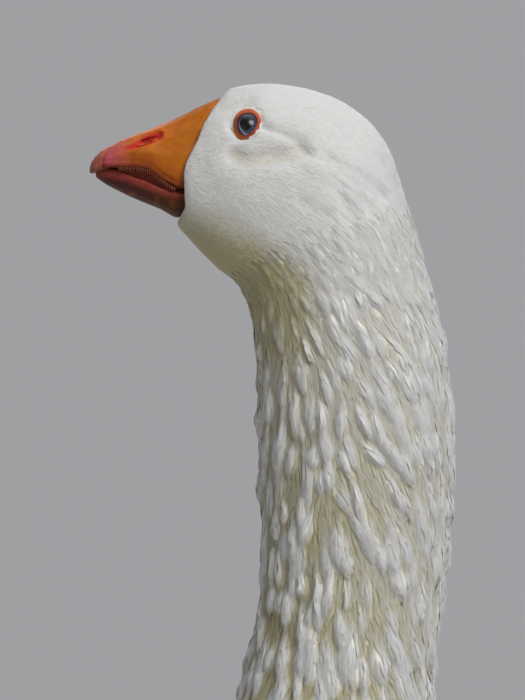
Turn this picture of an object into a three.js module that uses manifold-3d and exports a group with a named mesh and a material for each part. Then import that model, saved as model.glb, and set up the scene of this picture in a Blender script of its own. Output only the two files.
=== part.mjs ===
// A life-size white domestic goose, standing alert with its neck raised.
// Millimetres, +Z up. The goose faces -Y and its left side is +X. It stands on z = 0.
//
// Side outlines are written as [forward, up] pairs, where forward is -Y and is measured
// from the middle of the neck. The finished group is then moved so that the origin is at
// the centre of the footprint of its bounding box.

import * as THREE from 'three';
import { LoftGeometry } from 'three/addons/geometries/LoftGeometry.js';
import { mergeVertices } from 'three/addons/utils/BufferGeometryUtils.js';
import Module from 'manifold-3d';

const wasm = await Module();
wasm.setup();

// ---------------------------------------------------------------- driving dimensions

const GAP = 0.4; // clearance between touching pieces
const RING_POINTS = 22; // points round each section of the body
const STEPS = 2; // sections between two stations of the body
const FINE_STEPS = 3; // the same on the head

// The body's stations, from inside the bill to the root of the tail. top and bottom are on
// the outlines of the back and the underside; half is the half width, widest its place
// between top (0) and bottom (1), and square is 2 for an ellipse and more for a fuller one.
const STATIONS = [
  { name: 'gape', top: [100, 806.5], bottom: [100, 771.5], half: 15, widest: 0.72, square: 2 },
  { name: 'face', top: [70, 820.8], bottom: [88, 763.2], half: 20.5, widest: 0.68, square: 2.1 },
  { name: 'brow', top: [53, 828], bottom: [80, 755.5], half: 25, widest: 0.62, square: 2.2 },
  { name: 'crown', top: [30, 828.8], bottom: [71, 745.5], half: 29, widest: 0.57, square: 2.2 },
  { name: 'poll', top: [2, 820.8], bottom: [61, 736], half: 32, widest: 0.54, square: 2.1 },
  { name: 'occiput', top: [-19, 802], bottom: [52, 728.5], half: 34, widest: 0.52, square: 2 },
  { name: 'nape', top: [-29, 775], bottom: [46.6, 712], half: 36.5, widest: 0.5, square: 2 },
  { name: 'collar', top: [-39.5, 742], bottom: [44.5, 690], half: 39.5, widest: 0.5, square: 2 },
  { name: 'neck_1', top: [-51, 694], bottom: [43.3, 655], half: 42, widest: 0.5, square: 2 },
  { name: 'neck_2', top: [-54.5, 645], bottom: [42, 620], half: 43, widest: 0.5, square: 2 },
  { name: 'neck_3', top: [-51.5, 590], bottom: [42, 582], half: 43.5, widest: 0.5, square: 2 },
  { name: 'neck_4', top: [-45, 535], bottom: [49.5, 535], half: 46, widest: 0.5, square: 2 },
  { name: 'neck_base', top: [-46, 482], bottom: [71, 480], half: 60, widest: 0.5, square: 2 },
  { name: 'shoulder', top: [-62, 444], bottom: [101, 412], half: 84, widest: 0.5, square: 2 },
  { name: 'breast', top: [-90, 422], bottom: [115, 340], half: 106, widest: 0.5, square: 2.05 },
  { name: 'chest', top: [-124, 411], bottom: [93, 245], half: 120, widest: 0.5, square: 2.1 },
  { name: 'keel', top: [-166, 402], bottom: [6, 153], half: 127, widest: 0.48, square: 2.2 },
  { name: 'belly', top: [-216, 391], bottom: [-106, 121], half: 128, widest: 0.46, square: 2.3 },
  { name: 'flank', top: [-270, 376], bottom: [-214, 127], half: 120, widest: 0.44, square: 2.25 },
  { name: 'vent', top: [-324, 359], bottom: [-314, 184], half: 92, widest: 0.42, square: 2.1 },
  { name: 'rump', top: [-371, 343], bottom: [-373, 268], half: 56, widest: 0.42, square: 2 },
  { name: 'tail_root', top: [-390, 336], bottom: [-393, 300], half: 41, widest: 0.42, square: 2 },
];
const FINE_UNTIL = STATIONS.findIndex(({ name }) => name === 'nape');
const LAST = STATIONS.length - 1;

// The body is parted at these stations into the pieces named below.
const PARTINGS = ['collar', 'neck_3', 'neck_base', 'rump'];
const PIECES = ['head', 'neck_upper', 'neck_lower', 'trunk', 'tail'];

// Soft swells (out > 0) and hollows (out < 0) on both sides of the head.
const SWELLS = [
  { name: 'cheek', at: [44, 777], reach: 17, out: 2.6 },
  { name: 'ear_coverts', at: [16, 786], reach: 14, out: 1.4 },
  { name: 'lore', at: [66, 806], reach: 8, out: -1.6 },
  { name: 'under_eye', at: [44, 794], reach: 6, out: -1.4 },
  { name: 'behind_eye', at: [30, 799], reach: 7, out: -1.6 },
  { name: 'brow_ridge', at: [46, 818.5], reach: 6, out: 1.2 },
];

// Where the feathers of the face end and the bill begins, from the forehead to the chin.
const FEATHER_LINE = [
  [52, 835],
  [61.6, 823.6],
  [67, 816],
  [71.5, 808.2],
  [74.6, 800],
  [79.6, 790.4],
  [81, 785],
  [80.4, 768],
  [84, 762],
  [88, 752],
];
const AHEAD_OF_BILL = 140;

const EYE = { at: [48.8, 807.8], radius: 8, proud: 2.7 };
const EYELID = { long: 17, wide: 14.2, thick: 2.5, lean: 0.12, proud: 0.5 };

// The bill's stations: [forward, height of the culmen, lower edge, half width].
const UPPER_BILL = [
  [52, 829, 772, 12.5],
  [61, 823.2, 773.5, 14.8],
  [72, 818.6, 774.8, 17],
  [84, 812.6, 776.6, 17.2],
  [91, 809.6, 780.6, 16.5],
  [97, 807.2, 785.6, 15.6],
  [104, 804.6, 787.1, 14.4],
  [112, 801.4, 787.3, 12.8],
  [118, 798, 787.2, 11],
  [121, 796, 787.4, 8.8],
  [122.6, 794, 788, 6],
];
// The nail is the hard shield at the bill's tip.
const BILL_NAIL = [
  [116.5, 799.4, 786.9, 8.6],
  [121, 796.8, 786, 8.9],
  [124.4, 793.6, 785.2, 7.4],
  [126.4, 790.6, 784.9, 4.8],
  [127.2, 788.4, 785.4, 1.6],
];
// The lower bill: [forward, height of its edge, lowest line, half width].
const LOWER_BILL = [
  [56, 770, 757, 11],
  [72, 773.2, 759, 14.2],
  [86, 775.6, 763.6, 14.6],
  [92, 777.6, 767.2, 14],
  [100, 781.2, 770.4, 12.8],
  [108, 784, 773.8, 11.2],
  [114, 785.4, 776.8, 9.4],
  [119, 786, 779.4, 7.2],
  [122.4, 785.8, 781.8, 4.8],
  [124.2, 785.4, 783.2, 2.4],
];
const MOUTH = { inset: 3, floor: 7 }; // the tongue's floor inside the lower bill's edge
const NOSTRIL = { at: [98.4, 801], out: 9.8, long: 12, high: 3.8, deep: 1.8, slope: 0.45 };

// The folded wing lies on the body between two stations. upper and lower are angles round
// the body's section, in degrees from the middle of the back.
const WING = { first: 'breast', last: 'vent', thick: 14, edge: 2.6, inside: 6 };
const WING_EDGES = [
  { along: 0, upper: 74, lower: 92 },
  { along: 0.08, upper: 56, lower: 103 },
  { along: 0.25, upper: 37, lower: 110 },
  { along: 0.5, upper: 24, lower: 107 },
  { along: 0.75, upper: 15, lower: 94 },
  { along: 0.92, upper: 12, lower: 76 },
  { along: 1, upper: 14, lower: 62 },
];

// The long flight feathers show behind the wing and lie over the rump: centre line as
// [forward, up] and out, with the blade's height and thickness at each place.
const PRIMARIES = [
  { at: [-296, 338], out: 82, high: 58, thick: 10 },
  { at: [-340, 340], out: 65, high: 50, thick: 9 },
  { at: [-384, 347], out: 42, high: 38, thick: 7 },
  { at: [-424, 355], out: 24, high: 25, thick: 5.5 },
  { at: [-456, 362], out: 12, high: 9, thick: 3 },
];
const PRIMARY_LEAN = 0.75; // the blade leans over the back

// The tail: [forward, upper line, lower line, half width].
const TAIL = [
  [-384, 338, 300, 40],
  [-406, 341, 309, 50],
  [-432, 346, 324, 58],
  [-464, 353, 342, 63],
  [-488, 358, 352, 57],
  [-501, 360, 356.5, 38],
];

// Each leg, with places as [forward, up] and out as the distance from the middle.
const LEG = { hip: [-141, 205], hock: [-157, 110], ankle: [-143, 17], out: 62, hipOut: 74 };
const THIGH_RADII = [6, 26, 38, 42, 40, 32, 22, 14.5, 11.5];
const THIGH_DEPTH = 1.1;
const SHANK_RADII = [9.4, 9.6, 8.2, 6.9, 6.1, 5.8, 6, 6.8, 8, 8.2];
const SHANK_DEPTH = 1.18; // a shank is deeper from front to back than it is wide
const SHANK_TOP = 111;
const FOOT_TOP = 22;
const ANKLE_BOTTOM = 5;
const SIDES = { left: 1, right: -1 }; // +X is the goose's left
const TOES = [
  { name: 'inner', length: 72, radius: 5.2, turn: -29 },
  { name: 'middle', length: 90, radius: 5.8, turn: -2 },
  { name: 'outer', length: 84, radius: 5.2, turn: 24 },
];
const TOE = { rise: 3.6, joints: 3, taper: 0.42, knuckle: 0.1, flat: 0.86, tip: 1.6 };
const WEB = { thick: 2, reach: 0.93, scallop: 0.74 };
const HALLUX = { root: [-3, 6, 9], tip: [-7, 23, 3.4], radii: [3.6, 3.6, 3.2, 2.5] };
const CLAW = { length: 10, radii: [2.7, 2.3, 0.4], clear: 1.2, tipHeight: 1.6 };
const FEET_TURN_OUT = 8; // degrees

const COLOURS = {
  plumage: 0xf1efe6,
  bill: 0xe07818,
  nail: 0xd9a08c,
  leg: 0xe0751c,
  claw: 0xcdb79a,
  eye: 0x2b3440,
  eyelid: 0xd9571a,
};
const ROUGHNESS = { plumage: 0.9, bill: 0.45, nail: 0.4, leg: 0.6, claw: 0.5, eye: 0.1, eyelid: 0.6 };

// ---------------------------------------------------------------- small helpers

// [forward, up] and a distance to the left, as a point in the part's frame.
function place([forward, up], left = 0) {
  return new THREE.Vector3(left, -forward, up);
}

// A smooth curve through rows of up to three numbers; read it with a place from 0 to 1.
function smooth(rows) {
  const curve = new THREE.CatmullRomCurve3(
    rows.map((row) => new THREE.Vector3(...row)),
    false,
    'catmullrom',
    0.5,
  );
  return (t) => curve.getPoint(THREE.MathUtils.clamp(t, 0, 1)).toArray();
}

// Places round a superellipse: the sine or cosine of an angle, squared off.
function squared(value, square) {
  return Math.sign(value) * Math.abs(value) ** (2 / square);
}

// count values of make, for places evenly round a full turn.
function roundTheTurn(count, make) {
  return Array.from({ length: count }, (_, i) => make((i / count) * 2 * Math.PI));
}

// The solid of a closed geometry, its doubled vertices merged and its empty faces left out.
function solidOf(geometry) {
  const bare = new THREE.BufferGeometry();
  bare.setAttribute('position', geometry.attributes.position);
  bare.setIndex(geometry.index);
  const merged = mergeVertices(bare, 1e-3);
  const faces = [];
  for (let i = 0; i < merged.index.count; i += 3) {
    const [a, b, c] = merged.index.array.subarray(i, i + 3);
    if (a !== b && b !== c && c !== a) faces.push(a, b, c);
  }
  return new wasm.Manifold(
    new wasm.Mesh({
      numProp: 3,
      vertProperties: new Float32Array(merged.attributes.position.array),
      triVerts: new Uint32Array(faces),
    }),
  );
}

function geometryOf(solid) {
  const { vertProperties, triVerts } = solid.getMesh();
  const geometry = new THREE.BufferGeometry();
  geometry.setAttribute('position', new THREE.BufferAttribute(new Float32Array(vertProperties), 3));
  geometry.setIndex(new THREE.BufferAttribute(new Uint32Array(triVerts), 1));
  geometry.computeVertexNormals();
  return geometry;
}

function centreOf(points) {
  const sum = points.reduce((total, point) => total.add(point), new THREE.Vector3());
  return sum.divideScalar(points.length);
}

// A solid through sections with the same number of points, whichever way round they run.
function loft(sections) {
  const [first, second] = sections;
  const start = centreOf(first);
  const turn = new THREE.Vector3();
  first.forEach((point, i) => {
    const next = first[(i + 1) % first.length];
    turn.add(point.clone().sub(start).cross(next.clone().sub(start)));
  });
  const facesOn = turn.dot(centreOf(second).sub(start)) > 0;
  const ordered = facesOn ? sections : sections.map((section) => [...section].reverse());
  return solidOf(new LoftGeometry(ordered, { capStart: true, capEnd: true }));
}

// Rows of [forward, top, bottom, half width] made denser with a smooth curve.
function densify(rows, steps) {
  const along = smooth(rows.map(([forward]) => [forward, 0, 0]));
  const shape = smooth(rows.map(([, ...rest]) => rest));
  const count = (rows.length - 1) * steps;
  return Array.from({ length: count + 1 }, (_, i) => [along(i / count)[0], ...shape(i / count)]);
}

function box(width, depth, height, centre, tilt = 0) {
  const geometry = new THREE.BoxGeometry(width, depth, height);
  geometry.rotateX(tilt);
  geometry.translate(...centre.toArray());
  return solidOf(geometry);
}

// All the space above a height.
function above(height) {
  const size = 1200;
  return box(size, size, size, new THREE.Vector3(0, 0, height + size / 2));
}

// An outline of [forward, up] pairs, cut right through the head from side to side.
function sideCut(outline, halfWidth) {
  const shape = new THREE.Shape(outline.map(([forward, up]) => new THREE.Vector2(-forward, up)));
  const geometry = new THREE.ExtrudeGeometry(shape, { depth: 2 * halfWidth, bevelEnabled: false });
  geometry.translate(0, 0, -halfWidth);
  // The shape's X, Y and Z become the part's Y, Z and X.
  geometry.applyMatrix4(new THREE.Matrix4().set(0, 0, 1, 0, 1, 0, 0, 0, 0, 1, 0, 0, 0, 0, 0, 1));
  return solidOf(geometry);
}

// A lathed limb from one point to another, its radii given at even steps.
function limb(from, to, radii, depth, segments) {
  const length = from.distanceTo(to);
  const profile = [
    new THREE.Vector2(0, 0),
    ...radii.map((radius, i) => new THREE.Vector2(radius, (i / (radii.length - 1)) * length)),
    new THREE.Vector2(0, length),
  ];
  const geometry = new THREE.LatheGeometry(profile, segments);
  geometry.scale(1, 1, depth);
  const turn = new THREE.Quaternion().setFromUnitVectors(
    new THREE.Vector3(0, 1, 0),
    to.clone().sub(from).normalize(),
  );
  geometry.applyQuaternion(turn);
  geometry.translate(...from.toArray());
  return solidOf(geometry);
}

// ---------------------------------------------------------------- the body's surface

const topLine = smooth(STATIONS.map(({ top }) => [...top, 0]));
const bottomLine = smooth(STATIONS.map(({ bottom }) => [...bottom, 0]));
const girth = smooth(STATIONS.map(({ half, widest, square }) => [half, widest, square]));

function stationAt(wanted) {
  return STATIONS.findIndex(({ name }) => name === wanted) / LAST;
}

function swellAt(forward, up) {
  return SWELLS.reduce((total, { at, reach, out }) => {
    const distance = Math.hypot(forward - at[0], up - at[1]) / reach;
    return total + out * Math.exp(-distance * distance);
  }, 0);
}

// A point of the body's surface: t runs from the first station (0) to the last (1), angle
// goes round from the back over the left side, and grow moves the surface outwards.
function bodyPoint(t, angle, grow = 0) {
  const [topForward, topUp] = topLine(t);
  const [bottomForward, bottomUp] = bottomLine(t);
  const [half, widest, square] = girth(t);
  const height = Math.hypot(bottomForward - topForward, bottomUp - topUp);
  const cos = Math.cos(angle);
  const sin = Math.sin(angle);
  const share = cos > 0 ? widest : 1 - widest;
  const down = (widest - share * squared(cos, square)) * height - grow * cos;
  const forward = topForward + ((bottomForward - topForward) * down) / height;
  const up = topUp + ((bottomUp - topUp) * down) / height;
  return place([forward, up], half * squared(sin, square) + (grow + swellAt(forward, up)) * sin);
}

// The body without its cuts; grow gives it a clearance all round.
function bodySolid(grow = 0) {
  const sections = [];
  for (let i = 0; i <= LAST; i++) {
    const between = i < FINE_UNTIL ? FINE_STEPS : STEPS;
    for (let k = 0; k < (i < LAST ? between : 1); k++) {
      const t = (i + k / between) / LAST;
      sections.push(roundTheTurn(RING_POINTS, (angle) => bodyPoint(t, angle, grow)));
    }
  }
  return loft(sections).add(tailSolid(grow));
}

// The place on the left side of the head at [forward, up], and the way the surface faces.
function headSurface([forward, up]) {
  const [across, round] = [200, 100];
  let best = { distance: Infinity };
  for (let i = 0; i <= across; i++) {
    for (let k = 1; k < round; k++) {
      const t = (i / across) * (FINE_UNTIL / LAST);
      const angle = (k / round) * Math.PI;
      const point = bodyPoint(t, angle);
      const distance = Math.hypot(-point.y - forward, point.z - up);
      if (distance < best.distance) best = { distance, point, t, angle };
    }
  }
  const { point, t, angle } = best;
  const back = bodyPoint(t + 0.5 / LAST, angle).sub(point);
  const downwards = bodyPoint(t, angle + 0.2).sub(point);
  return { point, facing: downwards.cross(back).normalize() };
}

// A thin slab along the section at one station, for parting the body there.
function partingSlab(name) {
  const { top, bottom, half } = STATIONS.find((station) => station.name === name);
  const tilt = Math.atan2(bottom[1] - top[1], top[0] - bottom[0]);
  const middle = [(top[0] + bottom[0]) / 2, (top[1] + bottom[1]) / 2];
  const reach = Math.hypot(bottom[0] - top[0], bottom[1] - top[1]) + 40;
  return box(2 * half + 30, reach, GAP, place(middle), tilt);
}

// ---------------------------------------------------------------- the bill

// Everything in front of the feather line, moved by shift towards the tip.
function frontOfFeathers(shift) {
  const line = FEATHER_LINE.map(([forward, up]) => [forward + shift, up]);
  const [top, bottom] = [line[0][1], line.at(-1)[1]];
  return sideCut([...line, [AHEAD_OF_BILL, bottom], [AHEAD_OF_BILL, top]], AHEAD_OF_BILL / 2);
}

// One section of the upper bill: a narrow ridge that widens to the lower edge.
function upperBillSection([forward, top, bottom, half], points) {
  const widest = 0.84;
  return roundTheTurn(points, (angle) => {
    const cos = Math.cos(angle);
    const square = cos > 0 ? 1.85 : 3.2;
    const share = cos > 0 ? widest : 1 - widest;
    const down = (top - bottom) * (widest - share * squared(cos, square));
    return place([forward, top - down], half * squared(Math.sin(angle), square));
  });
}

function nailSolid(grow = 0) {
  const rows = densify(BILL_NAIL, 1).map(([forward, top, bottom, half], i) =>
    upperBillSection([forward + (i ? grow : -grow), top + grow, bottom - grow, half + grow], 14),
  );
  return loft(rows);
}

function nostril() {
  const geometry = new THREE.SphereGeometry(1, 10, 6);
  geometry.scale(NOSTRIL.deep, NOSTRIL.long / 2, NOSTRIL.high / 2);
  geometry.rotateX(NOSTRIL.slope);
  geometry.translate(...place(NOSTRIL.at, NOSTRIL.out).toArray());
  const left = solidOf(geometry);
  return left.add(left.mirror([1, 0, 0]));
}

function wholeUpperBill() {
  return loft(densify(UPPER_BILL, 1).map((row) => upperBillSection(row, 16)));
}

function upperBillSolid() {
  return wholeUpperBill()
    .subtract(nailSolid(GAP))
    .subtract(nostril())
    .intersect(frontOfFeathers(GAP));
}

// The lower bill: a rounded trough, with the tongue's floor standing up inside its edge.
function lowerBillSection([forward, edge, bottom, half]) {
  const square = 2.3;
  const outer = Array.from({ length: 9 }, (_, i) => {
    const angle = (i / 8) * Math.PI;
    const down = (edge - bottom) * squared(Math.sin(angle), square);
    return place([forward, edge - down], half * squared(Math.cos(angle), square));
  });
  const inner = Math.max(half - MOUTH.inset, half / 3);
  const floor = [
    [-inner, edge],
    [-inner + 0.3, edge + MOUTH.floor],
    [inner - 0.3, edge + MOUTH.floor],
    [inner, edge],
  ];
  return [...outer, ...floor.map(([out, up]) => place([forward, up], out))];
}

function lowerBillSolid() {
  const upper = wholeUpperBill();
  return loft(densify(LOWER_BILL, 1).map(lowerBillSection))
    .intersect(frontOfFeathers(GAP))
    .subtract(upper.add(upper.translate([0, 0, -GAP])))
    .subtract(nailSolid(GAP));
}

// ---------------------------------------------------------------- eyes

const eyeSurface = headSurface(EYE.at);

function eyeSolid(grow = 0) {
  const geometry = new THREE.SphereGeometry(EYE.radius + grow, 14, 8);
  geometry.rotateZ(Math.PI / 2);
  const centre = eyeSurface.point
    .clone()
    .addScaledVector(eyeSurface.facing, EYE.proud - EYE.radius);
  geometry.translate(...centre.toArray());
  return solidOf(geometry);
}

// The bare ring of skin round the eye, oval as seen from the side.
function eyelidSolid(grow = 0) {
  const round = EYELID.thick / 2 + grow;
  const radius = (EYELID.wide - EYELID.thick) / 2;
  const profile = Array.from({ length: 6 }, (_, i) => {
    const angle = (i / 5) * 2 * Math.PI;
    return new THREE.Vector2(radius + round * Math.cos(angle), round * Math.sin(angle));
  });
  const geometry = new THREE.LatheGeometry(profile, 16);
  geometry.rotateZ(-Math.PI / 2);
  geometry.scale(1, 1, EYELID.long / EYELID.wide);
  geometry.rotateX(EYELID.lean);
  geometry.applyQuaternion(
    new THREE.Quaternion().setFromUnitVectors(new THREE.Vector3(1, 0, 0), eyeSurface.facing),
  );
  const centre = eyeSurface.point.clone().addScaledVector(eyeSurface.facing, EYELID.proud);
  geometry.translate(...centre.toArray());
  return solidOf(geometry);
}

// ---------------------------------------------------------------- wings and tail

const wingEdges = smooth(WING_EDGES.map(({ along, upper, lower }) => [along, upper, lower]));

// The folded wing: an outer face that swells over the body and a flat inner face under it.
function wingShell() {
  const [rows, across, under] = [14, 7, 2];
  const [from, to] = [stationAt(WING.first), stationAt(WING.last)];
  const sections = Array.from({ length: rows + 1 }, (_, i) => {
    const [along, upper, lower] = wingEdges(i / rows);
    const fullness = Math.sin(Math.PI * Math.min(along + 0.12, 1)) ** 0.5;
    const point = (share, lift) => {
      const angle = THREE.MathUtils.degToRad(upper + (lower - upper) * share);
      return bodyPoint(from + (to - from) * along, angle, lift);
    };
    const outer = Array.from({ length: across + 1 }, (_, k) => {
      const bulge = Math.sin((Math.PI * k) / across) ** 0.6;
      return point(k / across, WING.edge + (WING.thick - WING.edge) * bulge * fullness);
    });
    const inner = Array.from({ length: under + 1 }, (_, k) => point(1 - k / under, -WING.inside));
    return [...outer, ...inner];
  });
  return loft(sections);
}

function primaries() {
  const across = new THREE.Vector3(Math.sin(PRIMARY_LEAN), 0, -Math.cos(PRIMARY_LEAN));
  const normal = new THREE.Vector3(Math.cos(PRIMARY_LEAN), 0, Math.sin(PRIMARY_LEAN));
  return loft(
    PRIMARIES.map(({ at, out, high, thick }) =>
      roundTheTurn(10, (angle) =>
        place(at, out)
          .addScaledVector(across, (high / 2) * Math.cos(angle))
          .addScaledVector(normal, (thick / 2) * Math.sin(angle)),
      ),
    ),
  );
}

function tailSolid(grow = 0) {
  const square = 2.2;
  return loft(
    TAIL.map(([forward, top, bottom, half]) =>
      roundTheTurn(16, (angle) => {
        const high = (top - bottom) / 2 + grow;
        const up = (top + bottom) / 2 + high * squared(Math.cos(angle), square);
        return place([forward, up], (half + grow) * squared(Math.sin(angle), square));
      }),
    ),
  );
}

// ---------------------------------------------------------------- legs

function thighSolid() {
  const hip = place(LEG.hip, LEG.hipOut);
  const hock = place(LEG.hock, LEG.out);
  return limb(hip, hock, THIGH_RADII, THIGH_DEPTH, 12).intersect(above(SHANK_TOP + GAP));
}

// The scaly lower leg with the ankle, down into the foot.
function lowerLeg() {
  const hock = place([LEG.hock[0], SHANK_TOP], LEG.out);
  const ankle = place([LEG.ankle[0], ANKLE_BOTTOM], LEG.out);
  return limb(hock, ankle, SHANK_RADII, SHANK_DEPTH, 10).subtract(above(SHANK_TOP));
}

function toeTurn(turn) {
  return THREE.MathUtils.degToRad(turn + FEET_TURN_OUT);
}

function toeDirection(turn) {
  return new THREE.Vector3(Math.sin(toeTurn(turn)), -Math.cos(toeTurn(turn)), 0);
}

// A toe with its swollen joints, from the ankle outwards.
function toeSolid({ length, radius, turn }) {
  const count = 6;
  const profile = [new THREE.Vector2(0, -radius)];
  for (let i = 0; i <= count; i++) {
    const t = i / count;
    const knuckles = 1 + TOE.knuckle * Math.cos(2 * Math.PI * TOE.joints * t);
    profile.push(new THREE.Vector2(radius * (1 - TOE.taper * t) * knuckles, t * length));
  }
  profile.push(new THREE.Vector2(0, length + TOE.tip));
  const geometry = new THREE.LatheGeometry(profile, 7);
  geometry.scale(1, 1, TOE.flat);
  geometry.rotateZ(Math.PI + toeTurn(turn));
  geometry.translate(0, 0, TOE.rise);
  return solidOf(geometry);
}

// The skin between the toes, its free edge hollowed between two toes.
function webSolid() {
  const tips = TOES.map(({ turn, length }) => toeDirection(turn).multiplyScalar(length * WEB.reach));
  const outline = new THREE.Shape();
  outline.moveTo(0, 4);
  outline.lineTo(tips[0].x, tips[0].y);
  for (let i = 1; i < tips.length; i++) {
    const middle = centreOf([tips[i - 1], tips[i]]).multiplyScalar(WEB.scallop);
    outline.quadraticCurveTo(middle.x, middle.y, tips[i].x, tips[i].y);
  }
  outline.closePath();
  return solidOf(
    new THREE.ExtrudeGeometry(outline, { depth: WEB.thick, bevelEnabled: false, curveSegments: 5 }),
  );
}

function clawSolid({ length, turn }) {
  const direction = toeDirection(turn);
  const root = direction.clone().multiplyScalar(length + CLAW.clear);
  const tip = root.clone().addScaledVector(direction, CLAW.length);
  root.z = TOE.rise;
  tip.z = CLAW.tipHeight;
  return limb(root, tip, CLAW.radii, 1, 7);
}

// The left foot with its flat sole at z = 0, the ankle over the origin.
function footSolid() {
  const [root, tip] = [HALLUX.root, HALLUX.tip].map((at) => new THREE.Vector3(...at));
  const ankle = lowerLeg().subtract(above(FOOT_TOP)).translate(atAnkle().negate().toArray());
  let foot = webSolid().add(limb(root, tip, HALLUX.radii, 1, 7)).add(ankle);
  for (const toe of TOES) foot = foot.add(toeSolid(toe));
  for (const toe of TOES) {
    const claw = clawSolid(toe);
    const behind = toeDirection(toe.turn).multiplyScalar(-GAP);
    const room = claw.add(claw.translate(behind.toArray())).add(claw.translate([0, 0, GAP]));
    foot = foot.subtract(room);
  }
  return foot.intersect(above(0));
}

function atAnkle() {
  return place([LEG.ankle[0], 0], LEG.out);
}

// ---------------------------------------------------------------- assembly

const materials = Object.fromEntries(
  Object.entries(COLOURS).map(([name, color]) => [
    name,
    new THREE.MeshStandardMaterial({ color, roughness: ROUGHNESS[name], metalness: 0 }),
  ]),
);

const goose = new THREE.Group();

function addPart(name, solid, material, group = goose) {
  const mesh = new THREE.Mesh(geometryOf(solid), materials[material]);
  mesh.name = name;
  group.add(mesh);
}

// A left piece and its mirror image on the right, both clear of the body.
function addPair(name, left, material) {
  addPart(`${name}_left`, left.subtract(bodyRoom), material);
  addPart(`${name}_right`, left.mirror([1, 0, 0]).subtract(bodyRoom), material);
}

// The body is made whole, given its hollows, and then parted with thin cuts.
const leftEyeRoom = eyeSolid(GAP).add(eyelidSolid(GAP));
const eyeRoom = leftEyeRoom.add(leftEyeRoom.mirror([1, 0, 0]));
const bodyRoom = bodySolid(GAP).subtract(frontOfFeathers(0)).subtract(eyeRoom);
let body = bodySolid().subtract(frontOfFeathers(0)).subtract(eyeRoom);
for (const name of PARTINGS) body = body.subtract(partingSlab(name));
const parted = body
  .decompose()
  .sort((a, b) => b.volume() - a.volume())
  .slice(0, PIECES.length)
  .sort((a, b) => b.boundingBox().max[2] - a.boundingBox().max[2]);
PIECES.forEach((name, i) => addPart(name, parted[i], 'plumage'));

addPart('upper_bill', upperBillSolid(), 'bill');
addPart('bill_nail', nailSolid(), 'nail');
addPart('lower_bill', lowerBillSolid(), 'bill');
addPair('eye', eyeSolid(), 'eye');
addPair('eyelid', eyelidSolid().subtract(eyeSolid(GAP)), 'eyelid');
addPair('wing', wingShell().add(primaries()), 'plumage');
addPair('thigh', thighSolid(), 'plumage');
addPair('shank', lowerLeg().intersect(above(FOOT_TOP + GAP)), 'leg');

// Each foot is a group of its own, with its claws, placed under the ankle.
for (const [side, sign] of Object.entries(SIDES)) {
  const sided = (left) => (sign > 0 ? left : left.mirror([1, 0, 0]));
  const foot = new THREE.Group();
  foot.position.set(sign * atAnkle().x, atAnkle().y, 0);
  goose.add(foot);
  addPart(`foot_${side}`, sided(footSolid()), 'leg', foot);
  for (const toe of TOES) addPart(`claw_${toe.name}_${side}`, sided(clawSolid(toe)), 'claw', foot);
}

// The origin goes to the centre of the footprint of the whole.
const bounds = new THREE.Box3().setFromObject(goose);
goose.position.y = -(bounds.min.y + bounds.max.y) / 2;

export default goose;
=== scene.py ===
"""A white domestic goose: skin, feathers, bill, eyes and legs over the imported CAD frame.

Tables give places as forward and up, in mm: forward is measured from the middle of the
neck towards the bill (-Y), up from the floor. Everything else is in metres.
"""
import math

import bmesh
import bpy
import numpy as np
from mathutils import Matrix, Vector
from mathutils.bvhtree import BVHTree
from mathutils.kdtree import KDTree


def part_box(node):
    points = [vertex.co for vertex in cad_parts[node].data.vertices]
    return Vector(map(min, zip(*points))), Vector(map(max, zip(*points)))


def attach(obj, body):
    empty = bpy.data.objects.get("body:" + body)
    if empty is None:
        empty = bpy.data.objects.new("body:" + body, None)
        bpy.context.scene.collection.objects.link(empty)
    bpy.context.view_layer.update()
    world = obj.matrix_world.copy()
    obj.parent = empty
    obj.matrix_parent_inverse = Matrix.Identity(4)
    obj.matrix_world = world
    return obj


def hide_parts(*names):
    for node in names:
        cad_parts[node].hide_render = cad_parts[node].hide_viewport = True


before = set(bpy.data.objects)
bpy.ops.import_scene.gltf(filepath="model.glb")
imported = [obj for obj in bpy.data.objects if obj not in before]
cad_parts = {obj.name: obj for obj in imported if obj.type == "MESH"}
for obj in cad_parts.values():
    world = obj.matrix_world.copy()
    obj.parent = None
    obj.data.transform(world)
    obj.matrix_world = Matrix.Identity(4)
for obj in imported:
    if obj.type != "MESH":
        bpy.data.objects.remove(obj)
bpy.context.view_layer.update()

rng = np.random.default_rng(7)

# ---------------------------------------------------------------- places

MM = 0.001
TURN = 2 * math.pi
BILL_TIP = 127.2  # the bill's tip is this far ahead of the middle of the neck
NECK_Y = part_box("bill_nail")[0].y + BILL_TIP * MM
FAR_AWAY = 100.0  # in mm
AHEAD, DOWN = np.array([0.0, -1.0, 0.0]), np.array([0.0, 0.0, -1.0])

# The line down the middle of the goose, from the bill's base to the tail's root.
SPINE = np.array([
    (100, 789), (79, 792), (66.5, 792), (50, 787), (31, 778), (16, 765), (9, 743), (2.5, 716),
    (-4, 674), (-6, 632), (-5, 586), (2, 535), (12, 481), (20, 428), (12, 381), (-15, 328),
    (-80, 277), (-161, 256), (-242, 251), (-319, 271), (-372, 305), (-391, 318), (-500, 350),
], dtype=float)
SPINE_STEPS = np.diff(SPINE, axis=0)
SPINE_LENGTHS = np.linalg.norm(SPINE_STEPS, axis=1)
SPINE_ALONG = np.concatenate([[0.0], np.cumsum(SPINE_LENGTHS)])
UNROLLED = 1100  # the length of the spine that the unwrap has room for, in mm

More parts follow.
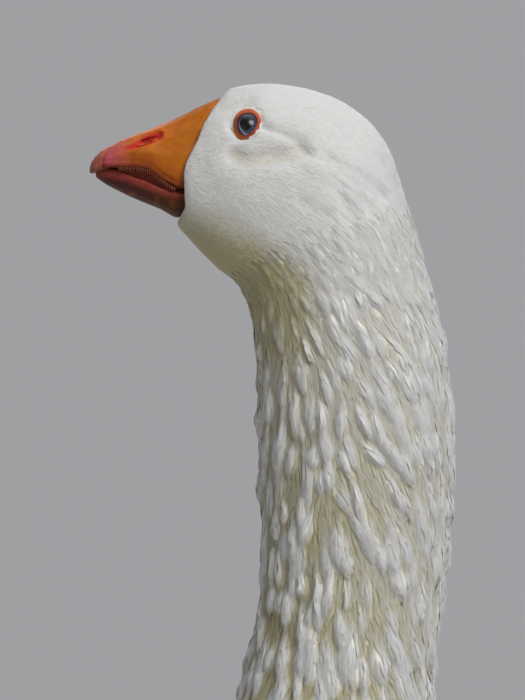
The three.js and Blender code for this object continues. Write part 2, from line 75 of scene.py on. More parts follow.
# The coat along that line: how far along, the feathers' spacing, how much further apart they
# are lengthwise, their length and width, the height of the ridge, and the coat's depth.
SPACING, STRETCH, LENGTH, WIDTH, RIDGE, DEPTH = range(1, 7)
COAT = np.array([
    (0, 0.62, 2.2, 3.4, 1.6, 0.05, 0.13), (40, 0.68, 2.4, 4.4, 1.8, 0.06, 0.16),
    (80, 0.8, 2.8, 6, 2.1, 0.09, 0.24), (105, 0.88, 3.2, 8, 2.1, 0.1, 0.3),
    (130, 0.9, 4, 10.5, 1.9, 0.15, 0.42), (160, 0.88, 4.6, 12.5, 1.9, 0.18, 0.62),
    (200, 0.9, 4.8, 13.5, 2, 0.2, 0.7), (400, 1.05, 4.8, 15, 2.3, 0.22, 0.8),
    (465, 1.35, 4.4, 17, 3.2, 0.28, 1.3), (545, 1.7, 4, 19, 4.2, 0.3, 1.5),
])
# The same for the broad feathers of the breast and the body.
BODY_COAT = np.array([
    (440, 4.2, 2.2, 22, 8, 0.35, 1.6), (480, 5, 2, 26, 12, 0.4, 2.2),
    (540, 5.8, 1.8, 31, 17, 0.42, 3), (600, 6.4, 1.6, 34, 22, 0.42, 3.5),
    (900, 6.4, 1.6, 32, 21, 0.4, 3.2), (1060, 6.2, 1.7, 26, 15, 0.4, 2.5),
])
# The same, without a depth, for the crests in which the neck's feathers stand together.
CRESTS = np.array([
    (92, 3, 2.5, 12, 3.2, 0.3), (130, 4, 2.4, 19, 5.4, 1.2), (180, 5, 2.3, 24, 7.4, 2.2),
    (300, 5.7, 2.2, 26, 8.8, 2.7), (430, 6.6, 2.2, 27, 9.6, 2.5), (490, 7.6, 2.1, 28, 10, 1.7),
    (550, 8.5, 2.1, 29, 11, 0.5),
])
CREST_START, CREST_END = CRESTS[0, 0], CRESTS[-1, 0]
# How much olive cream the coat gets along the spine, from white (0) to olive cream (1): partly the
# feathers' own stain, partly painted shade.
STAIN_AND_SHADE = ((0, 80, 95, 130, 165, 230, 330, 400, 470, 560, 1100),
         (0.4, 0.35, 0.05, 0.25, 0.5, 0.7, 0.78, 0.58, 0.22, 0.08, 0.06))
# The upper edge of the painted shade under the jaw and down the throat, as places along the goose and
# heights.
THROAT = ((-10, 16, 30, 52.5, 80, 90), (733, 741, 750, 763, 771, 773))
# The edge of the feathers round the bill from the throat up, as heights and places along.
FEATHER_LINE = ((752, 762, 768, 785, 790.4, 800, 808.2, 816, 823.6, 835),
                (88, 84, 80.4, 81, 79.6, 74.6, 71.5, 67, 61.6, 52))

# The way the feathers point, as [forward, up, degrees from straight down towards the back].
LIE = np.array([
    (75, 800, 85), (78, 780, 70), (78, 768, 52), (60, 815, 100), (50, 822, 90), (60, 822, 122),
    (30, 826, 90), (0, 818, 64), (-18, 800, 40), (-28, 780, 20), (25, 803, 78), (10, 790, 62),
    (-5, 775, 45), (60, 740, 50), (50, 755, 52), (40, 775, 62), (20, 752, 48), (20, 710, 27),
    (35, 705, 10), (-10, 720, 32), (-32, 730, 22), (15, 660, 5), (35, 640, -12), (38, 690, 4),
    (-10, 650, 27), (-35, 650, 24), (-52, 650, 12), (45, 540, -14), (10, 560, 2), (-30, 560, 22),
    (-48, 560, 14), (70, 470, -18), (12, 470, 12), (-50, 470, 38), (105, 400, -6), (115, 340, 8),
    (98, 260, 40), (50, 190, 66), (-20, 145, 84), (-120, 120, 90), (-210, 127, 94),
    (-300, 180, 108), (-360, 255, 122), (-395, 300, 112), (50, 400, 24), (0, 330, 68),
    (-64, 440, 62), (-90, 421, 78), (-166, 402, 86), (-270, 376, 83), (-370, 343, 85),
    (-450, 350, 98), (-60, 330, 84), (-120, 260, 88), (-220, 230, 92), (-300, 250, 98),
    (-141, 150, 30), (-155, 115, 12),
], dtype=float)
LIE_REACH = 6.0  # how widely each entry holds, in mm


def spot(forward, up, out=0.0):
    return np.array([out * MM, NECK_Y - forward * MM, up * MM])


def side(points):
    """Forward and up, in mm, of each point."""
    return np.stack([(NECK_Y - points[:, 1]) / MM, points[:, 2] / MM], axis=1)


def unit(vectors):
    return vectors / np.maximum(np.linalg.norm(vectors, axis=-1, keepdims=True), 1e-12)


def smoothstep(low, high, value):
    t = np.clip((value - low) / (high - low), 0, 1)
    return t * t * (3 - 2 * t)


def bell(value, width):
    return np.exp(-((value / width) ** 2))


def lerp(start, end, share):
    return start * (1 - share) + end * share


def steps(count):
    """The ends of evenly spaced steps from 0 to 1."""
    return np.linspace(0, 1, count + 1)


def along_and_around(points):
    """How far along the spine each point is, in mm, and its angle round it from the back."""
    flat = side(points)
    nearest = np.full(len(flat), np.inf)
    along, height = np.zeros((2, len(flat)))
    for start, step, length, before in zip(SPINE, SPINE_STEPS, SPINE_LENGTHS, SPINE_ALONG):
        offset = flat - start
        t = np.clip(offset @ step / length**2, 0, 1)
        away = offset - t[:, None] * step
        apart = np.hypot(away[:, 0], away[:, 1])
        won = apart < nearest
        nearest[won] = apart[won]
        along[won] = before + t[won] * length
        height[won] = away[won] @ np.array([step[1], -step[0]]) / length
    return along, np.arctan2(points[:, 0] / MM, height)


def look_up(table, column, along):
    return np.interp(along, table[:, 0], table[:, column])


def coat_depth(along):
    neck, body = (look_up(table, DEPTH, along) for table in (COAT, BODY_COAT))
    return lerp(neck, body, smoothstep(440, 560, along))


def ahead_of_feathers(flat):
    """How far forward of the feathers' edge round the bill each place is, in mm."""
    return flat[:, 0] - np.interp(flat[:, 1], *FEATHER_LINE)


def along_surface(vectors, normals):
    return unit(vectors - normals * (vectors * normals).sum(axis=-1, keepdims=True))


def lie(points, normals):
    """The direction in which the feathers point at each place, along the surface."""
    apart = np.linalg.norm(side(points)[:, None, :] - LIE[:, :2], axis=-1)
    weight = 1 / (apart**2 + LIE_REACH**2) ** 2
    angle = np.radians(LIE[:, 2])
    back, down = weight @ np.sin(angle), weight @ np.cos(angle)
    return along_surface(np.stack([0 * back, back, -down], axis=1), normals)


def place_along(points, line):
    """How far along a line each point is, from 0 to 1, its nearest step and its offset."""
    steps = np.diff(line, axis=0)
    offset = points[:, None, :] - line[:-1]
    t = np.clip((offset * steps).sum(-1) / (steps**2).sum(-1), 0, 1)
    away = offset - t[..., None] * steps
    best = (away**2).sum(axis=-1).argmin(axis=1)
    rows = np.arange(len(points))
    return (best + t[rows, best]) / len(steps), best, away[rows, best]


def distance_to_line(flat, line):
    return np.linalg.norm(place_along(flat, np.array(line, dtype=float))[2], axis=-1)


def kd_tree(points):
    tree = KDTree(len(points))
    for i, point in enumerate(points):
        tree.insert(point, i)
    tree.balance()
    return tree


def numbers_within(tree, place, reach):
    return np.array([found[1] for found in tree.find_range(place, reach)])


# ---------------------------------------------------------------- meshes

def mesh_from(name, points, loops, sizes):
    """A mesh from its points, its faces' corners in one row, and each face's corner count."""
    mesh = bpy.data.meshes.new(name)
    mesh.vertices.add(len(points))
    mesh.vertices.foreach_set("co", np.asarray(points, dtype=np.float32).ravel())
    mesh.loops.add(len(loops))
    mesh.loops.foreach_set("vertex_index", np.asarray(loops, dtype=np.int32))
    mesh.polygons.add(len(sizes))
    starts = np.concatenate([[0], np.cumsum(sizes)[:-1]])
    mesh.polygons.foreach_set("loop_start", starts.astype(np.int32))
    mesh.update(calc_edges=True)
    mesh.validate()
    return mesh


def mean_of_ring(values):
    return (np.roll(values, 1) + 2 * values + np.roll(values, -1)) / 4


def new_object(name, data):
    made = bpy.data.objects.new(name, data)
    bpy.context.scene.collection.objects.link(made)
    return made


def add_piece(name, mesh, material, nodes=()):
    piece = new_object(name, mesh)
    mesh.materials.clear()
    mesh.materials.append(material)
    mesh.polygons.foreach_set("use_smooth", np.ones(len(mesh.polygons), dtype=bool))
    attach(piece, "root")
    if nodes:
        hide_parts(*nodes)
    return piece


def read(mesh, what, field, width, kind=np.float32):
    values = np.empty(len(getattr(mesh, what)) * width, dtype=kind)
    getattr(mesh, what).foreach_get(field, values)
    return values.reshape(-1, width) if width > 1 else values


def corners_of(mesh):
    return read(mesh, "loops", "vertex_index", 1, np.int32)


def paint(mesh, name, colours):
    """A colour for each vertex, in linear light."""
    attribute = mesh.color_attributes.new(name=name, type="FLOAT_COLOR", domain="POINT")
    rgba = np.ones((len(mesh.vertices), 4), dtype=np.float32)
    rgba[:, :3] = colours
    attribute.data.foreach_set("color", rgba.ravel())


def mark(mesh, name, values):
    """A number for each vertex."""
    attribute = mesh.attributes.new(name=name, type="FLOAT", domain="POINT")
    attribute.data.foreach_set("value", np.asarray(values, dtype=np.float32).ravel())


def put_uv(mesh, name, per_corner):
    layer = mesh.uv_layers.new(name=name)
    layer.uv.foreach_set("vector", np.asarray(per_corner, dtype=np.float32).ravel())


def solids(nodes):
    bm = bmesh.new()
    for node in nodes:
        bm.from_mesh(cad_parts[node].data)
    return bm


def remeshed(name, nodes, voxel, swell=0.0):
    """The named CAD solids as one closed mesh of small even faces."""
    bm = solids(nodes)
    bmesh.ops.remove_doubles(bm, verts=bm.verts, dist=1e-6)
    bm.normal_update()
    for vertex in bm.verts:
        vertex.co += vertex.normal * (swell * MM)
    mesh = bpy.data.meshes.new(name)
    bm.to_mesh(mesh)
    bm.free()
    holder = new_object(name, mesh)
    modifier = holder.modifiers.new("even", "REMESH")
    modifier.mode = "VOXEL"
    modifier.voxel_size = voxel * MM
    graph = bpy.context.evaluated_depsgraph_get()
    result = bpy.data.meshes.new_from_object(holder.evaluated_get(graph))
    bpy.data.objects.remove(holder)
    return result


class Surface:
    """A mesh as arrays, for smoothing, shaping and laying feathers on it."""

    def __init__(self, mesh, rounds=0):
        self.mesh = mesh
        self.points = read(mesh, "vertices", "co", 3).astype(float)
        self.edges = read(mesh, "edges", "vertices", 2, np.int32)
        self.refresh()
        if rounds:
            self.smooth(rounds)

    def refresh(self):
        self.mesh.vertices.foreach_set("co", self.points.astype(np.float32).ravel())
        self.mesh.update()
        self.normals = read(self.mesh, "vertices", "normal", 3).astype(float)

    def mean_of_neighbours(self, values):
        a, b = self.edges[:, 0], self.edges[:, 1]
        count = np.bincount(np.concatenate([a, b]), minlength=len(values))
        total = np.stack([
            np.bincount(a, values[b, k], len(values)) + np.bincount(b, values[a, k], len(values))
            for k in range(values.shape[1])
        ], axis=1)
        return total / np.maximum(count, 1)[:, None]

    def smooth(self, rounds, mask=1.0, shrink=0.5, grow=-0.52):
        """Takes out facets and steps but keeps the size."""
        mask = np.broadcast_to(mask, len(self.points))[:, None]
        for _ in range(rounds):
            for amount in (shrink, grow):
                pull = self.mean_of_neighbours(self.points) - self.points
                self.points = self.points + amount * mask * pull
        self.refresh()

    def spread(self, values, rounds):
        values = np.asarray(values, dtype=float).reshape(len(self.points), -1)
        for _ in range(rounds):
            values = 0.5 * values + 0.5 * self.mean_of_neighbours(values)
        return values

    def index(self):
        """Gets ready for settle() and cast(), and notes the coat's direction at each vertex."""
        self.mesh.calc_loop_triangles()
        self.triangles = read(self.mesh, "loop_triangles", "vertices", 3, np.int32)
        self.tree = BVHTree.FromPolygons(self.points.tolist(), self.triangles.tolist())
        self.ways = lie(self.points, self.normals)

    def mixed(self, values, places, faces):
        """Values that belong to the vertices, at places on the faces."""
        corners = self.triangles[faces]
        apart = np.linalg.norm(self.points[corners] - places[:, None, :], axis=-1)
        weight = 1 / (apart + 1e-6)
        return (values[corners] * weight[..., None]).sum(axis=1) / weight.sum(axis=1)[:, None]

    def settle(self, places):
        """The nearest place on the surface to each place, and the face there."""
        found = [self.tree.find_nearest(Vector(p)) for p in places]
        return np.array([f[0] for f in found]), np.array([f[2] for f in found])

    def crest_at(self, places):
        """How high on a crest each place is, from 0 to 1."""
        onto, faces = self.settle(places.reshape(-1, 3))
        return self.mixed(self.crest[:, None], onto, faces).reshape(places.shape[:-1])

    def cast(self, places, way, reach=0.4):
        """Where lines through the places, looked at from far along -way, meet the surface."""
        found = []
        for place in places:
            hit = self.tree.ray_cast(Vector(place - way * reach), Vector(way), 2 * reach)
            found.append(hit if hit[0] is not None else self.tree.find_nearest(Vector(place)))
        onto = np.array([f[0] for f in found])
        return onto, unit(self.mixed(self.normals, onto, np.array([f[2] for f in found])))

    def thickness(self):
        """How far it is through the solid under each point."""
        through = []
        for place, normal in zip(self.points, self.normals):
            start = Vector(place - normal * 0.05 * MM)
            distance = self.tree.ray_cast(start, Vector(-normal))[3]
            through.append(1.0 if distance is None else distance)
        return np.array(through)


# ---------------------------------------------------------------- materials

def srgb(red, green, blue):
    values = np.array([red, green, blue]) / 255
    return np.where(values <= 0.04045, values / 12.92, ((values + 0.055) / 1.055) ** 2.4)


class Nodes:
    """A node tree, put together from short calls."""

    def __init__(self, tree):
        self.tree = tree

    def node(self, kind, settings=(), **inputs):
        node = self.tree.nodes.new("ShaderNode" + kind)
        for key, value in dict(settings).items():
            setattr(node, key, value)
        for key, value in inputs.items():
            socket = node.inputs[int(key[1:])] if key[1:].isdigit() else node.inputs[key]
            self.feed(socket, value)
        return node

    def feed(self, socket, value):
        if isinstance(value, bpy.types.NodeSocket):
            self.tree.links.new(value, socket)
        elif isinstance(value, (tuple, list, np.ndarray)) and socket.type == "RGBA":
            socket.default_value = (*[float(v) for v in value[:3]], 1.0)
        else:
            socket.default_value = value

    def math(self, operation, a, b=0.0, c=0.0):
        return self.node("Math", {"operation": operation}, i0=a, i1=b, i2=c).outputs[0]

    def times(self, a, b):
        return self.math("MULTIPLY", a, b)

    def mix(self, amount, a, b):
        node = self.node("Mix", {"data_type": "RGBA"}, i0=amount, i6=a, i7=b)
        return node.outputs[2]

    def between(self, value, low, high, to_low=0.0, to_high=1.0):
        settings = {"interpolation_type": "SMOOTHSTEP"}
        node = self.node("MapRange", settings, i0=value, i1=low, i2=high, i3=to_low, i4=to_high)
        return node.outputs[0]

    def attribute(self, name, kind="Color"):
        return self.node("Attribute", {"attribute_name": name}).outputs[kind]

    def place(self):
        return self.node("TexCoord").outputs["Object"]

    def noise(self, scale, detail=3.0, rough=0.55, vector=None):
        node = self.node("TexNoise", Scale=scale, Detail=detail, Roughness=rough)
        self.feed(node.inputs["Vector"], vector or self.place())
        return node.outputs["Fac"]

    def bump(self, height, distance, strength=1.0, over=None):
        node = self.node("Bump", Height=height, Distance=distance, Strength=strength)
        if over is not None:
            self.feed(node.inputs["Normal"], over)
        return node.outputs["Normal"]

    def shown_over(self, shader, amount, backdrop, output):
        """Shows the backdrop to the camera and in reflections, and the shader to all else."""
        rays = self.node("LightPath").outputs
        seen = self.math("MAXIMUM", rays["Is Camera Ray"], rays["Is Glossy Ray"])
        seen = self.times(amount, self.math("MAXIMUM", seen, rays["Is Transmission Ray"]))
        both = self.node("MixShader", i0=seen, i1=shader.outputs[0], i2=backdrop.outputs[0])
        self.feed(self.tree.nodes[output].inputs["Surface"], both.outputs[0])


class Material(Nodes):
    """A surface's node tree, with uniform values set on its Principled shader."""

    def __init__(self, name, **constants):
        self.material = bpy.data.materials.new(name)
        self.material.use_nodes = True
        super().__init__(self.material.node_tree)
        self.shader = self.tree.nodes["Principled BSDF"]
        self.set(**constants)

    def set(self, **sockets):
        for socket, value in sockets.items():
            self.feed(self.shader.inputs[socket.replace("_", " ")], value)
        return self.material


WHITE = srgb(243, 243, 243)
CREAM = srgb(228, 224, 206)
OLIVE = srgb(190, 179, 124)
STRAND_SHADE_GREY = srgb(208, 206, 198)


def feather_material(name, cream, strands, fine=14.0, glow=0.3, fluff=0.0):
    """White feathers: olive cream between the crests, the feathers' stain with painted shade, and
    painted shade at the roots and edges where feathers lie under others; with fine barbs and strands.

    The "coat" attribute holds how far along and across its feather a place is, and the
    feather's own shade. fluff is how uneven the down under them is.
    """
    m = Material(name, Subsurface_Weight=glow, Subsurface_Scale=0.005,
                 Subsurface_Radius=(1.0, 0.88, 0.65), Sheen_Weight=0.1, Sheen_Roughness=0.5)
    parts = m.node("SeparateColor", i0=m.attribute("coat")).outputs
    # painted shade at the roots and the edges, where the feathers lie under others
    root, edge = m.between(parts[0], 0.7, 0.05), m.between(parts[1], 0.3, 1.0)
    shaded = m.math("ADD", m.times(root, 0.45), m.times(edge, 0.3))
    band = m.node("VectorMath", {"operation": "MULTIPLY"}, i0=m.place(), i1=(34.0, 34.0, 11.0))
    patches = m.between(m.noise(1.0, 3.0, 0.5, band.outputs[0]), 0.35, 0.7)
    colour = m.mix(m.times(patches, cream), WHITE, CREAM)
    # the feathers' stain together with painted shade, from stain_and_shade_of()
    stain = m.attribute("stain", "Fac")
    stain = m.math("ADD", stain, m.times(shaded, m.math("ADD", 0.05, stain)))
    colour = m.mix(m.math("MINIMUM", stain, 1.0), colour, OLIVE)
    colour = m.mix(m.times(parts[2], 0.1), colour, srgb(206, 205, 200))
    uv = m.node("UVMap", {"uv_map": "vane"}).outputs[0]
    lengthwise, across, _ = m.node("SeparateXYZ", i0=uv).outputs
    slant = m.times(m.math("ABSOLUTE", across), 30.0)
    barb = m.math("SUBTRACT", m.times(lengthwise, 26.0), slant)
    comb = m.node("CombineXYZ", i0=barb, i1=m.times(parts[2], 40.0)).outputs[0]
    barbs = m.noise(1.0, 2.0, 0.6, comb)
    strand_place = m.node("CombineXYZ", i0=m.times(lengthwise, 1.2), i1=m.times(across, fine),
                          i2=m.times(parts[2], 60.0)).outputs[0]
    strand = m.noise(1.0, 3.0, 0.6, strand_place)
    relief = m.math("ADD", m.times(barbs, 1 - strands), m.times(strand, strands))
    normal = m.bump(relief, 0.0008, 0.85)
    if fluff:
        down = m.math("ADD", m.noise(140.0, 2.0, 0.5), m.times(m.noise(520.0, 2.0, 0.5), 0.2))
        normal = m.bump(down, fluff, 0.6, normal)
    # greyer in the low parts of the barb and strand relief: painted shade in the grooves
    colour = m.mix(m.between(relief, 0.62, 0.3, 0.0, 0.3 * strands), colour, STRAND_SHADE_GREY)
    return m.set(Base_Color=colour, Roughness=m.between(relief, 0.3, 0.7, 0.65, 0.48), Normal=normal)


def skin_material():
    """The skin under the coat, with the coat's own white, and its stain and painted shade."""
    m = Material("goose_skin", Roughness=0.75, Subsurface_Weight=0.1, Subsurface_Scale=0.003)
    patches = m.between(m.noise(30.0, 4.0), 0.35, 0.7)
    colour = m.mix(patches, srgb(236, 235, 232), srgb(226, 224, 214))
    colour = m.mix(m.attribute("stain", "Fac"), colour, OLIVE)
    return m.set(Base_Color=colour, Normal=m.bump(m.noise(900.0, 3.0, 0.6), 0.0005, 0.5))


def painted_material(name, grain_size, grain_depth, mottle, rough, **constants):
    """A horny or leathery surface over painted colours, with mottling, grain and pores."""
    m = Material(name, **constants)
    blotch, light = m.noise(240.0, 5.0, 0.6), m.noise(90.0, 3.0)
    dark = m.between(blotch, 0.35, 0.75, 0.0, mottle)
    colour = m.mix(dark, m.attribute("tone"), srgb(96, 30, 14))
    colour = m.mix(m.between(light, 0.5, 0.8, 0.0, 0.7 * mottle), colour, srgb(236, 156, 60))
    normal = m.bump(m.noise(1 / grain_size, 4.0, 0.65), grain_depth, 0.7)
    return m.set(Base_Color=colour, Roughness=m.between(blotch, 0.3, 0.7, *rough), Normal=normal)


def scaly_material(name):
    """The orange skin of the legs: small plates with darker seams."""
    m = Material(name, Subsurface_Weight=0.08, Subsurface_Scale=0.002)
    plates = m.node("TexVoronoi", {"feature": "DISTANCE_TO_EDGE"}, Vector=m.place(), Scale=520.0)
    seam = m.between(plates.outputs["Distance"], 0.0, 0.16)
    pale = m.between(m.noise(120.0, 4.0), 0.4, 0.7, 0.0, 0.35)
    colour = m.mix(pale, m.attribute("tone"), srgb(226, 148, 66))
    colour = m.mix(m.math("SUBTRACT", 1.0, seam), colour, srgb(150, 70, 26))
    rough = m.between(seam, 0.0, 1.0, 0.7, 0.45)
    return m.set(Base_Color=colour, Roughness=rough, Normal=m.bump(seam, 0.0005, 0.8))


# ---------------------------------------------------------------- skin

FLESH = ("head", "neck_upper", "neck_lower", "trunk", "tail", "wing_left", "wing_right",
         "thigh_left", "thigh_right")
WINGS = ("wing_left", "wing_right")
WING_TREE = BVHTree.FromBMesh(solids(WINGS))
BODY_TREE = BVHTree.FromBMesh(solids([node for node in FLESH if node not in WINGS]))
VOXEL = 3.9  # the size of the outline's faces before it is divided, in mm
HEAD_ZONE = 118.0  # the finely divided part of the skin, in mm along the spine
RIM_SET_BACK = 1.3  # the skin's edge stays this far behind the edge of the feathers, in mm
EYE_RADIUS = 8.0  # in mm
LID = 0.6  # how far the lids stand over the eyeball, in mm
SOCKET_GAP = 1.6  # how far the skin sinks under the eyeball, in mm
SOCKET_FLOOR = 3.0  # but no lower than this over the eye's middle
THIN_PARTS = 0.3  # the skin goes in by no more than this share of what is under it

# Folds of the face, each with its depth and half width in mm and its line.
FOLDS = (
    (1.15, 2.2, [(39.2, 805.6), (31.2, 803.4), (24.6, 799.8), (19.4, 793.9), (9.2, 789.5),
                 (-3.3, 780), (-17, 772)]),
    (2.8, 4.3, [(54.5, 793.4), (48, 791), (37, 793.4), (28.2, 793.5), (23.8, 796)]),
    (0.8, 1.9, [(11.4, 794), (-3.6, 785), (-17.4, 775), (-25, 767.6)]),
    (0.7, 1.9, [(7.7, 782.6), (0.2, 777), (-8.6, 770), (-17.4, 760)]),
    (0.5, 2.6, [(22.6, 771.3), (16.4, 765.7), (10.2, 764)]),
    (1.3, 2.8, [(6.4, 777.6), (0.2, 769), (-4.2, 758.8), (-4.9, 748.8), (-1.8, 737.5),
                (3.3, 726.3)]),
    (1.3, 4.4, [(60.2, 817.2), (54.6, 818.4), (49, 818.6)]),
)
FULL_FOLD = 1.9  # a fold this deep, in mm, is fully in shade
BESIDE_FOLD = (0.2, 2.4, 1.3)  # the rise beside a fold: how high, how far out, and how wide

# The bare ring's outer edge seen from the side, as [forward, up] from its middle in mm, and
# the width of the ring there. It starts at the back and goes round by the underside.
RING = np.array([
    (-5.5, -2.2, 1.0), (-2.8, -5.5, 1.0), (0.6, -7.1, 1.4), (3.2, -7.3, 2.1), (5.5, -4.9, 2.2),
    (7.0, -1.4, 2.6), (7.1, 2.2, 2.7), (5.8, 5.4, 2.3), (3.3, 8.0, 2.6), (-0.5, 9.2, 2.9),
    (-2.4, 8.7, 2.5), (-4.6, 7.0, 1.9), (-6.4, 4.3, 1.5), (-6.8, 0.9, 1.3),
])
RING_ANGLES, RING_RADII = np.arctan2(RING[:, 1], RING[:, 0]), np.hypot(RING[:, 0], RING[:, 1])


def above(line, flat):
    """How far above a line, given as places along the goose and heights, each place is."""
    return flat[:, 1] - np.interp(flat[:, 0], *line)


def ribbed(flat, size):
    """A gentle waviness, the same on each run."""
    return np.sin(flat[:, 0] / size + 1.7 * np.sin(flat[:, 1] / size * 0.7))


def fold_depths(flat):
    """How deep the folds are at each place, in mm, and how far into a fold it is."""
    depth, fold = np.zeros((2, len(flat)))
    uneven = 0.8 + 0.2 * ribbed(flat, 2.6)
    high, out, wide = BESIDE_FOLD
    for deep, half, line in FOLDS:
        away = distance_to_line(flat, line)
        valley = bell(away, half)
        depth += deep * (valley * uneven - high * bell(away - out * half, wide * half))
        fold = np.maximum(fold, valley * deep / FULL_FOLD)
    return depth, fold


def ball(across):
    """How high the eyeball stands over its middle at each distance from its axis, in mm."""
    return np.sqrt(np.maximum(EYE_RADIUS**2 - across**2, 0))


class Eye:
    """An eye's centre and its own directions: out of it, forward and up."""

    def __init__(self, side_name):
        low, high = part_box("eye_" + side_name)
        self.centre = np.array((low + high) / 2)
        low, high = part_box("eyelid_" + side_name)
        self.out = unit(np.array((low + high) / 2) - self.centre)
        self.forward = unit(AHEAD + self.out * self.out[1])
        self.up = np.cross(self.out, self.forward) * -np.sign(self.out[0])
        self.axes = np.array([self.forward, self.up, self.out])
        self.mirrored = np.cross(self.forward, self.up) @ self.out < 0

    def across_and_height(self, points):
        """How far from the eye's axis each point is, and how high over its middle, in mm."""
        offset = points - self.centre
        height = offset @ self.out
        return np.linalg.norm(offset - height[:, None] * self.out, axis=1) / MM, height / MM

    def beyond_ring(self, points):
        """How far outside the bare ring's edge each point is, in mm, on this side of the head."""
        forward, up, out = self.axes @ (points - self.centre).T / MM
        edge = np.interp(np.arctan2(up, forward), RING_ANGLES, RING_RADII, period=TURN)
        return np.where(out < 0, FAR_AWAY, np.hypot(forward, up) - edge)

    def place(self, local):
        """Places given as forward, up and out from the eye's middle, in mm."""
        return self.centre + local @ self.axes * MM


EYES = {name: Eye(name) for name in ("left", "right")}


def divide(mesh, low, high, rounds):
    """Divides the faces between two places along the spine."""
    bm = bmesh.new()
    bm.from_mesh(mesh)
    for _ in range(rounds):
        bm.verts.ensure_lookup_table()
        along, _ = along_and_around(np.array([v.co for v in bm.verts]))
        fine = (along > low) & (along < high)
        edges = [e for e in bm.edges if fine[e.verts[0].index] and fine[e.verts[1].index]]
        bmesh.ops.subdivide_edges(bm, edges=edges, cuts=1, use_grid_fill=True)
        bm.verts.index_update()
    bm.to_mesh(mesh)
    bm.free()


# Where the crease between the breast and the wings is, how near both it starts and is fully
# smoothed, in mm, and for how many rounds.
CREASE = {"back": -75, "low": 200, "high": 420, "starts": 14, "full": 5, "rounds": 30}


def blend_shoulders(surface):
    """Fills the crease between the breast and the front of each wing."""
    forward, up = side(surface.points).T
    front = forward > CREASE["back"]
    front = np.flatnonzero(front & (up < CREASE["high"]) & (up > CREASE["low"]))
    apart = np.full(len(surface.points), FAR_AWAY)
    for i in front:
        place = Vector(surface.points[i])
        apart[i] = max(tree.find_nearest(place)[3] for tree in (WING_TREE, BODY_TREE)) / MM
    mask = smoothstep(CREASE["starts"], CREASE["full"], apart)
    surface.smooth(CREASE["rounds"], surface.spread(mask, 3)[:, 0], 0.5, 0.0)


def build_outline():
    """The goose's outer form as one smooth closed surface, with the folds of the face."""
    mesh = remeshed("outline", FLESH, VOXEL, 0.5)
    blend_shoulders(Surface(mesh, 8))
    divide(mesh, -1, HEAD_ZONE, 2)
    surface = Surface(mesh)
    along, _ = along_and_around(surface.points)
    surface.smooth(14, 1 - smoothstep(HEAD_ZONE, HEAD_ZONE + 10, along))
    surface.smooth(4)
    sideways = smoothstep(0.15, 0.6, np.abs(surface.normals[:, 0]))
    depth, fold = fold_depths(side(surface.points))
    surface.points -= surface.normals * (depth * sideways * MM)[:, None]
    for eye in EYES.values():
        across, height = eye.across_and_height(surface.points)
        lid = smoothstep(-1.5, -0.3, eye.beyond_ring(surface.points))
        lid *= (across < EYE_RADIUS) & (height > 0)
        surface.points += eye.out * (lid * np.maximum(ball(across) + LID - height, 0) * MM)[:, None]
    ahead = ahead_of_feathers(side(surface.points)) + RIM_SET_BACK
    surface.points[:, 1] += np.maximum(ahead, 0) * MM
    surface.refresh()
    surface.index()
    # folds count as low on a crest, so they get painted shade
    surface.crest = FACE_CREST * (1 - fold * sideways)
    return surface


def copy_of(outline, divisions, rounds):
    """A copy of the outline with a finer, smoothed neck, and where its vertices lie."""
    mesh = outline.mesh.copy()
    divide(mesh, HEAD_ZONE - 1, CREST_END + 10, divisions)
    copy = Surface(mesh)
    along, around = along_and_around(copy.points)
    copy.smooth(rounds, neck_only(along))
    return copy, along, around


def build_skin(outline, crests):
    """The skin: the coat's form drawn in by the coat's depth, and sunk under the eyes."""
    skin, along, around = copy_of(outline, 1, 8)
    skin.tree = outline.tree
    deepest = THIN_PARTS * skin.thickness()
    crest, _ = heap(skin, crests, along)
    depth = np.minimum(coat_depth(along) * MM, deepest)
    skin.points -= skin.normals * skin.spread(depth, 12)
    skin.points[:, 1] = np.minimum(skin.points[:, 1], spot(TAIL["flesh_end"], 0)[1])
    for eye in EYES.values():
        across, height = eye.across_and_height(skin.points)
        within = smoothstep(-0.2, -1.2, eye.beyond_ring(skin.points))
        floor = np.maximum(ball(across) - SOCKET_GAP, SOCKET_FLOOR)
        skin.points -= eye.out * (within * np.maximum(height - floor, 0) * MM)[:, None]
    skin.refresh()
    unwrap = unwrap_of(along, around)[corners_of(skin.mesh)]
    keep_on_one_side(skin.mesh, unwrap)
    put_uv(skin.mesh, "OFBake", unwrap)
    # the coat's stain and painted shade on the skin as well
    mark(skin.mesh, "stain", stain_and_shade_of(skin.points, along, around, crest[:, None])[:, 0])
    return add_piece("goose_skin", skin.mesh, skin_material(), FLESH)


def stain_and_shade_of(points, along, around, crest):
    """How much olive cream the coat gets: the feathers' stain together with painted shade, most
    between the crests and in the folds, down the front of the neck, all round the lower neck and
    under the jaw.
    """
    flat = side(points)
    front = (1 - np.cos(around)) / 2
    # low places between the crests and in the folds get painted shade
    deep = 1 - smoothstep(0.0, 0.5, crest)
    # painted shade: more towards the front of the neck, and all round its lower part
    upper_neck, lower_neck = 0.5 + 0.65 * front, 0.95 + 0.2 * front
    base = np.interp(along, *STAIN_AND_SHADE) * lerp(upper_neck, lower_neck, smoothstep(280, 380, along))
    # painted shade under the jaw and down the throat
    throat = 0.9 * smoothstep(-8, 22, -above(THROAT, flat))
    throat *= smoothstep(4, 36, flat[:, 0]) * smoothstep(680, 735, flat[:, 1])
    return base[..., None] * (0.08 + 0.92 * deep) + throat[..., None]


def varied(table, column, far, share, wobble, low, high):
    """A measure from the table, in metres, varied from feather to feather."""
    return look_up(table, column, far) * MM * np.clip(1 + share * wobble, low, high)


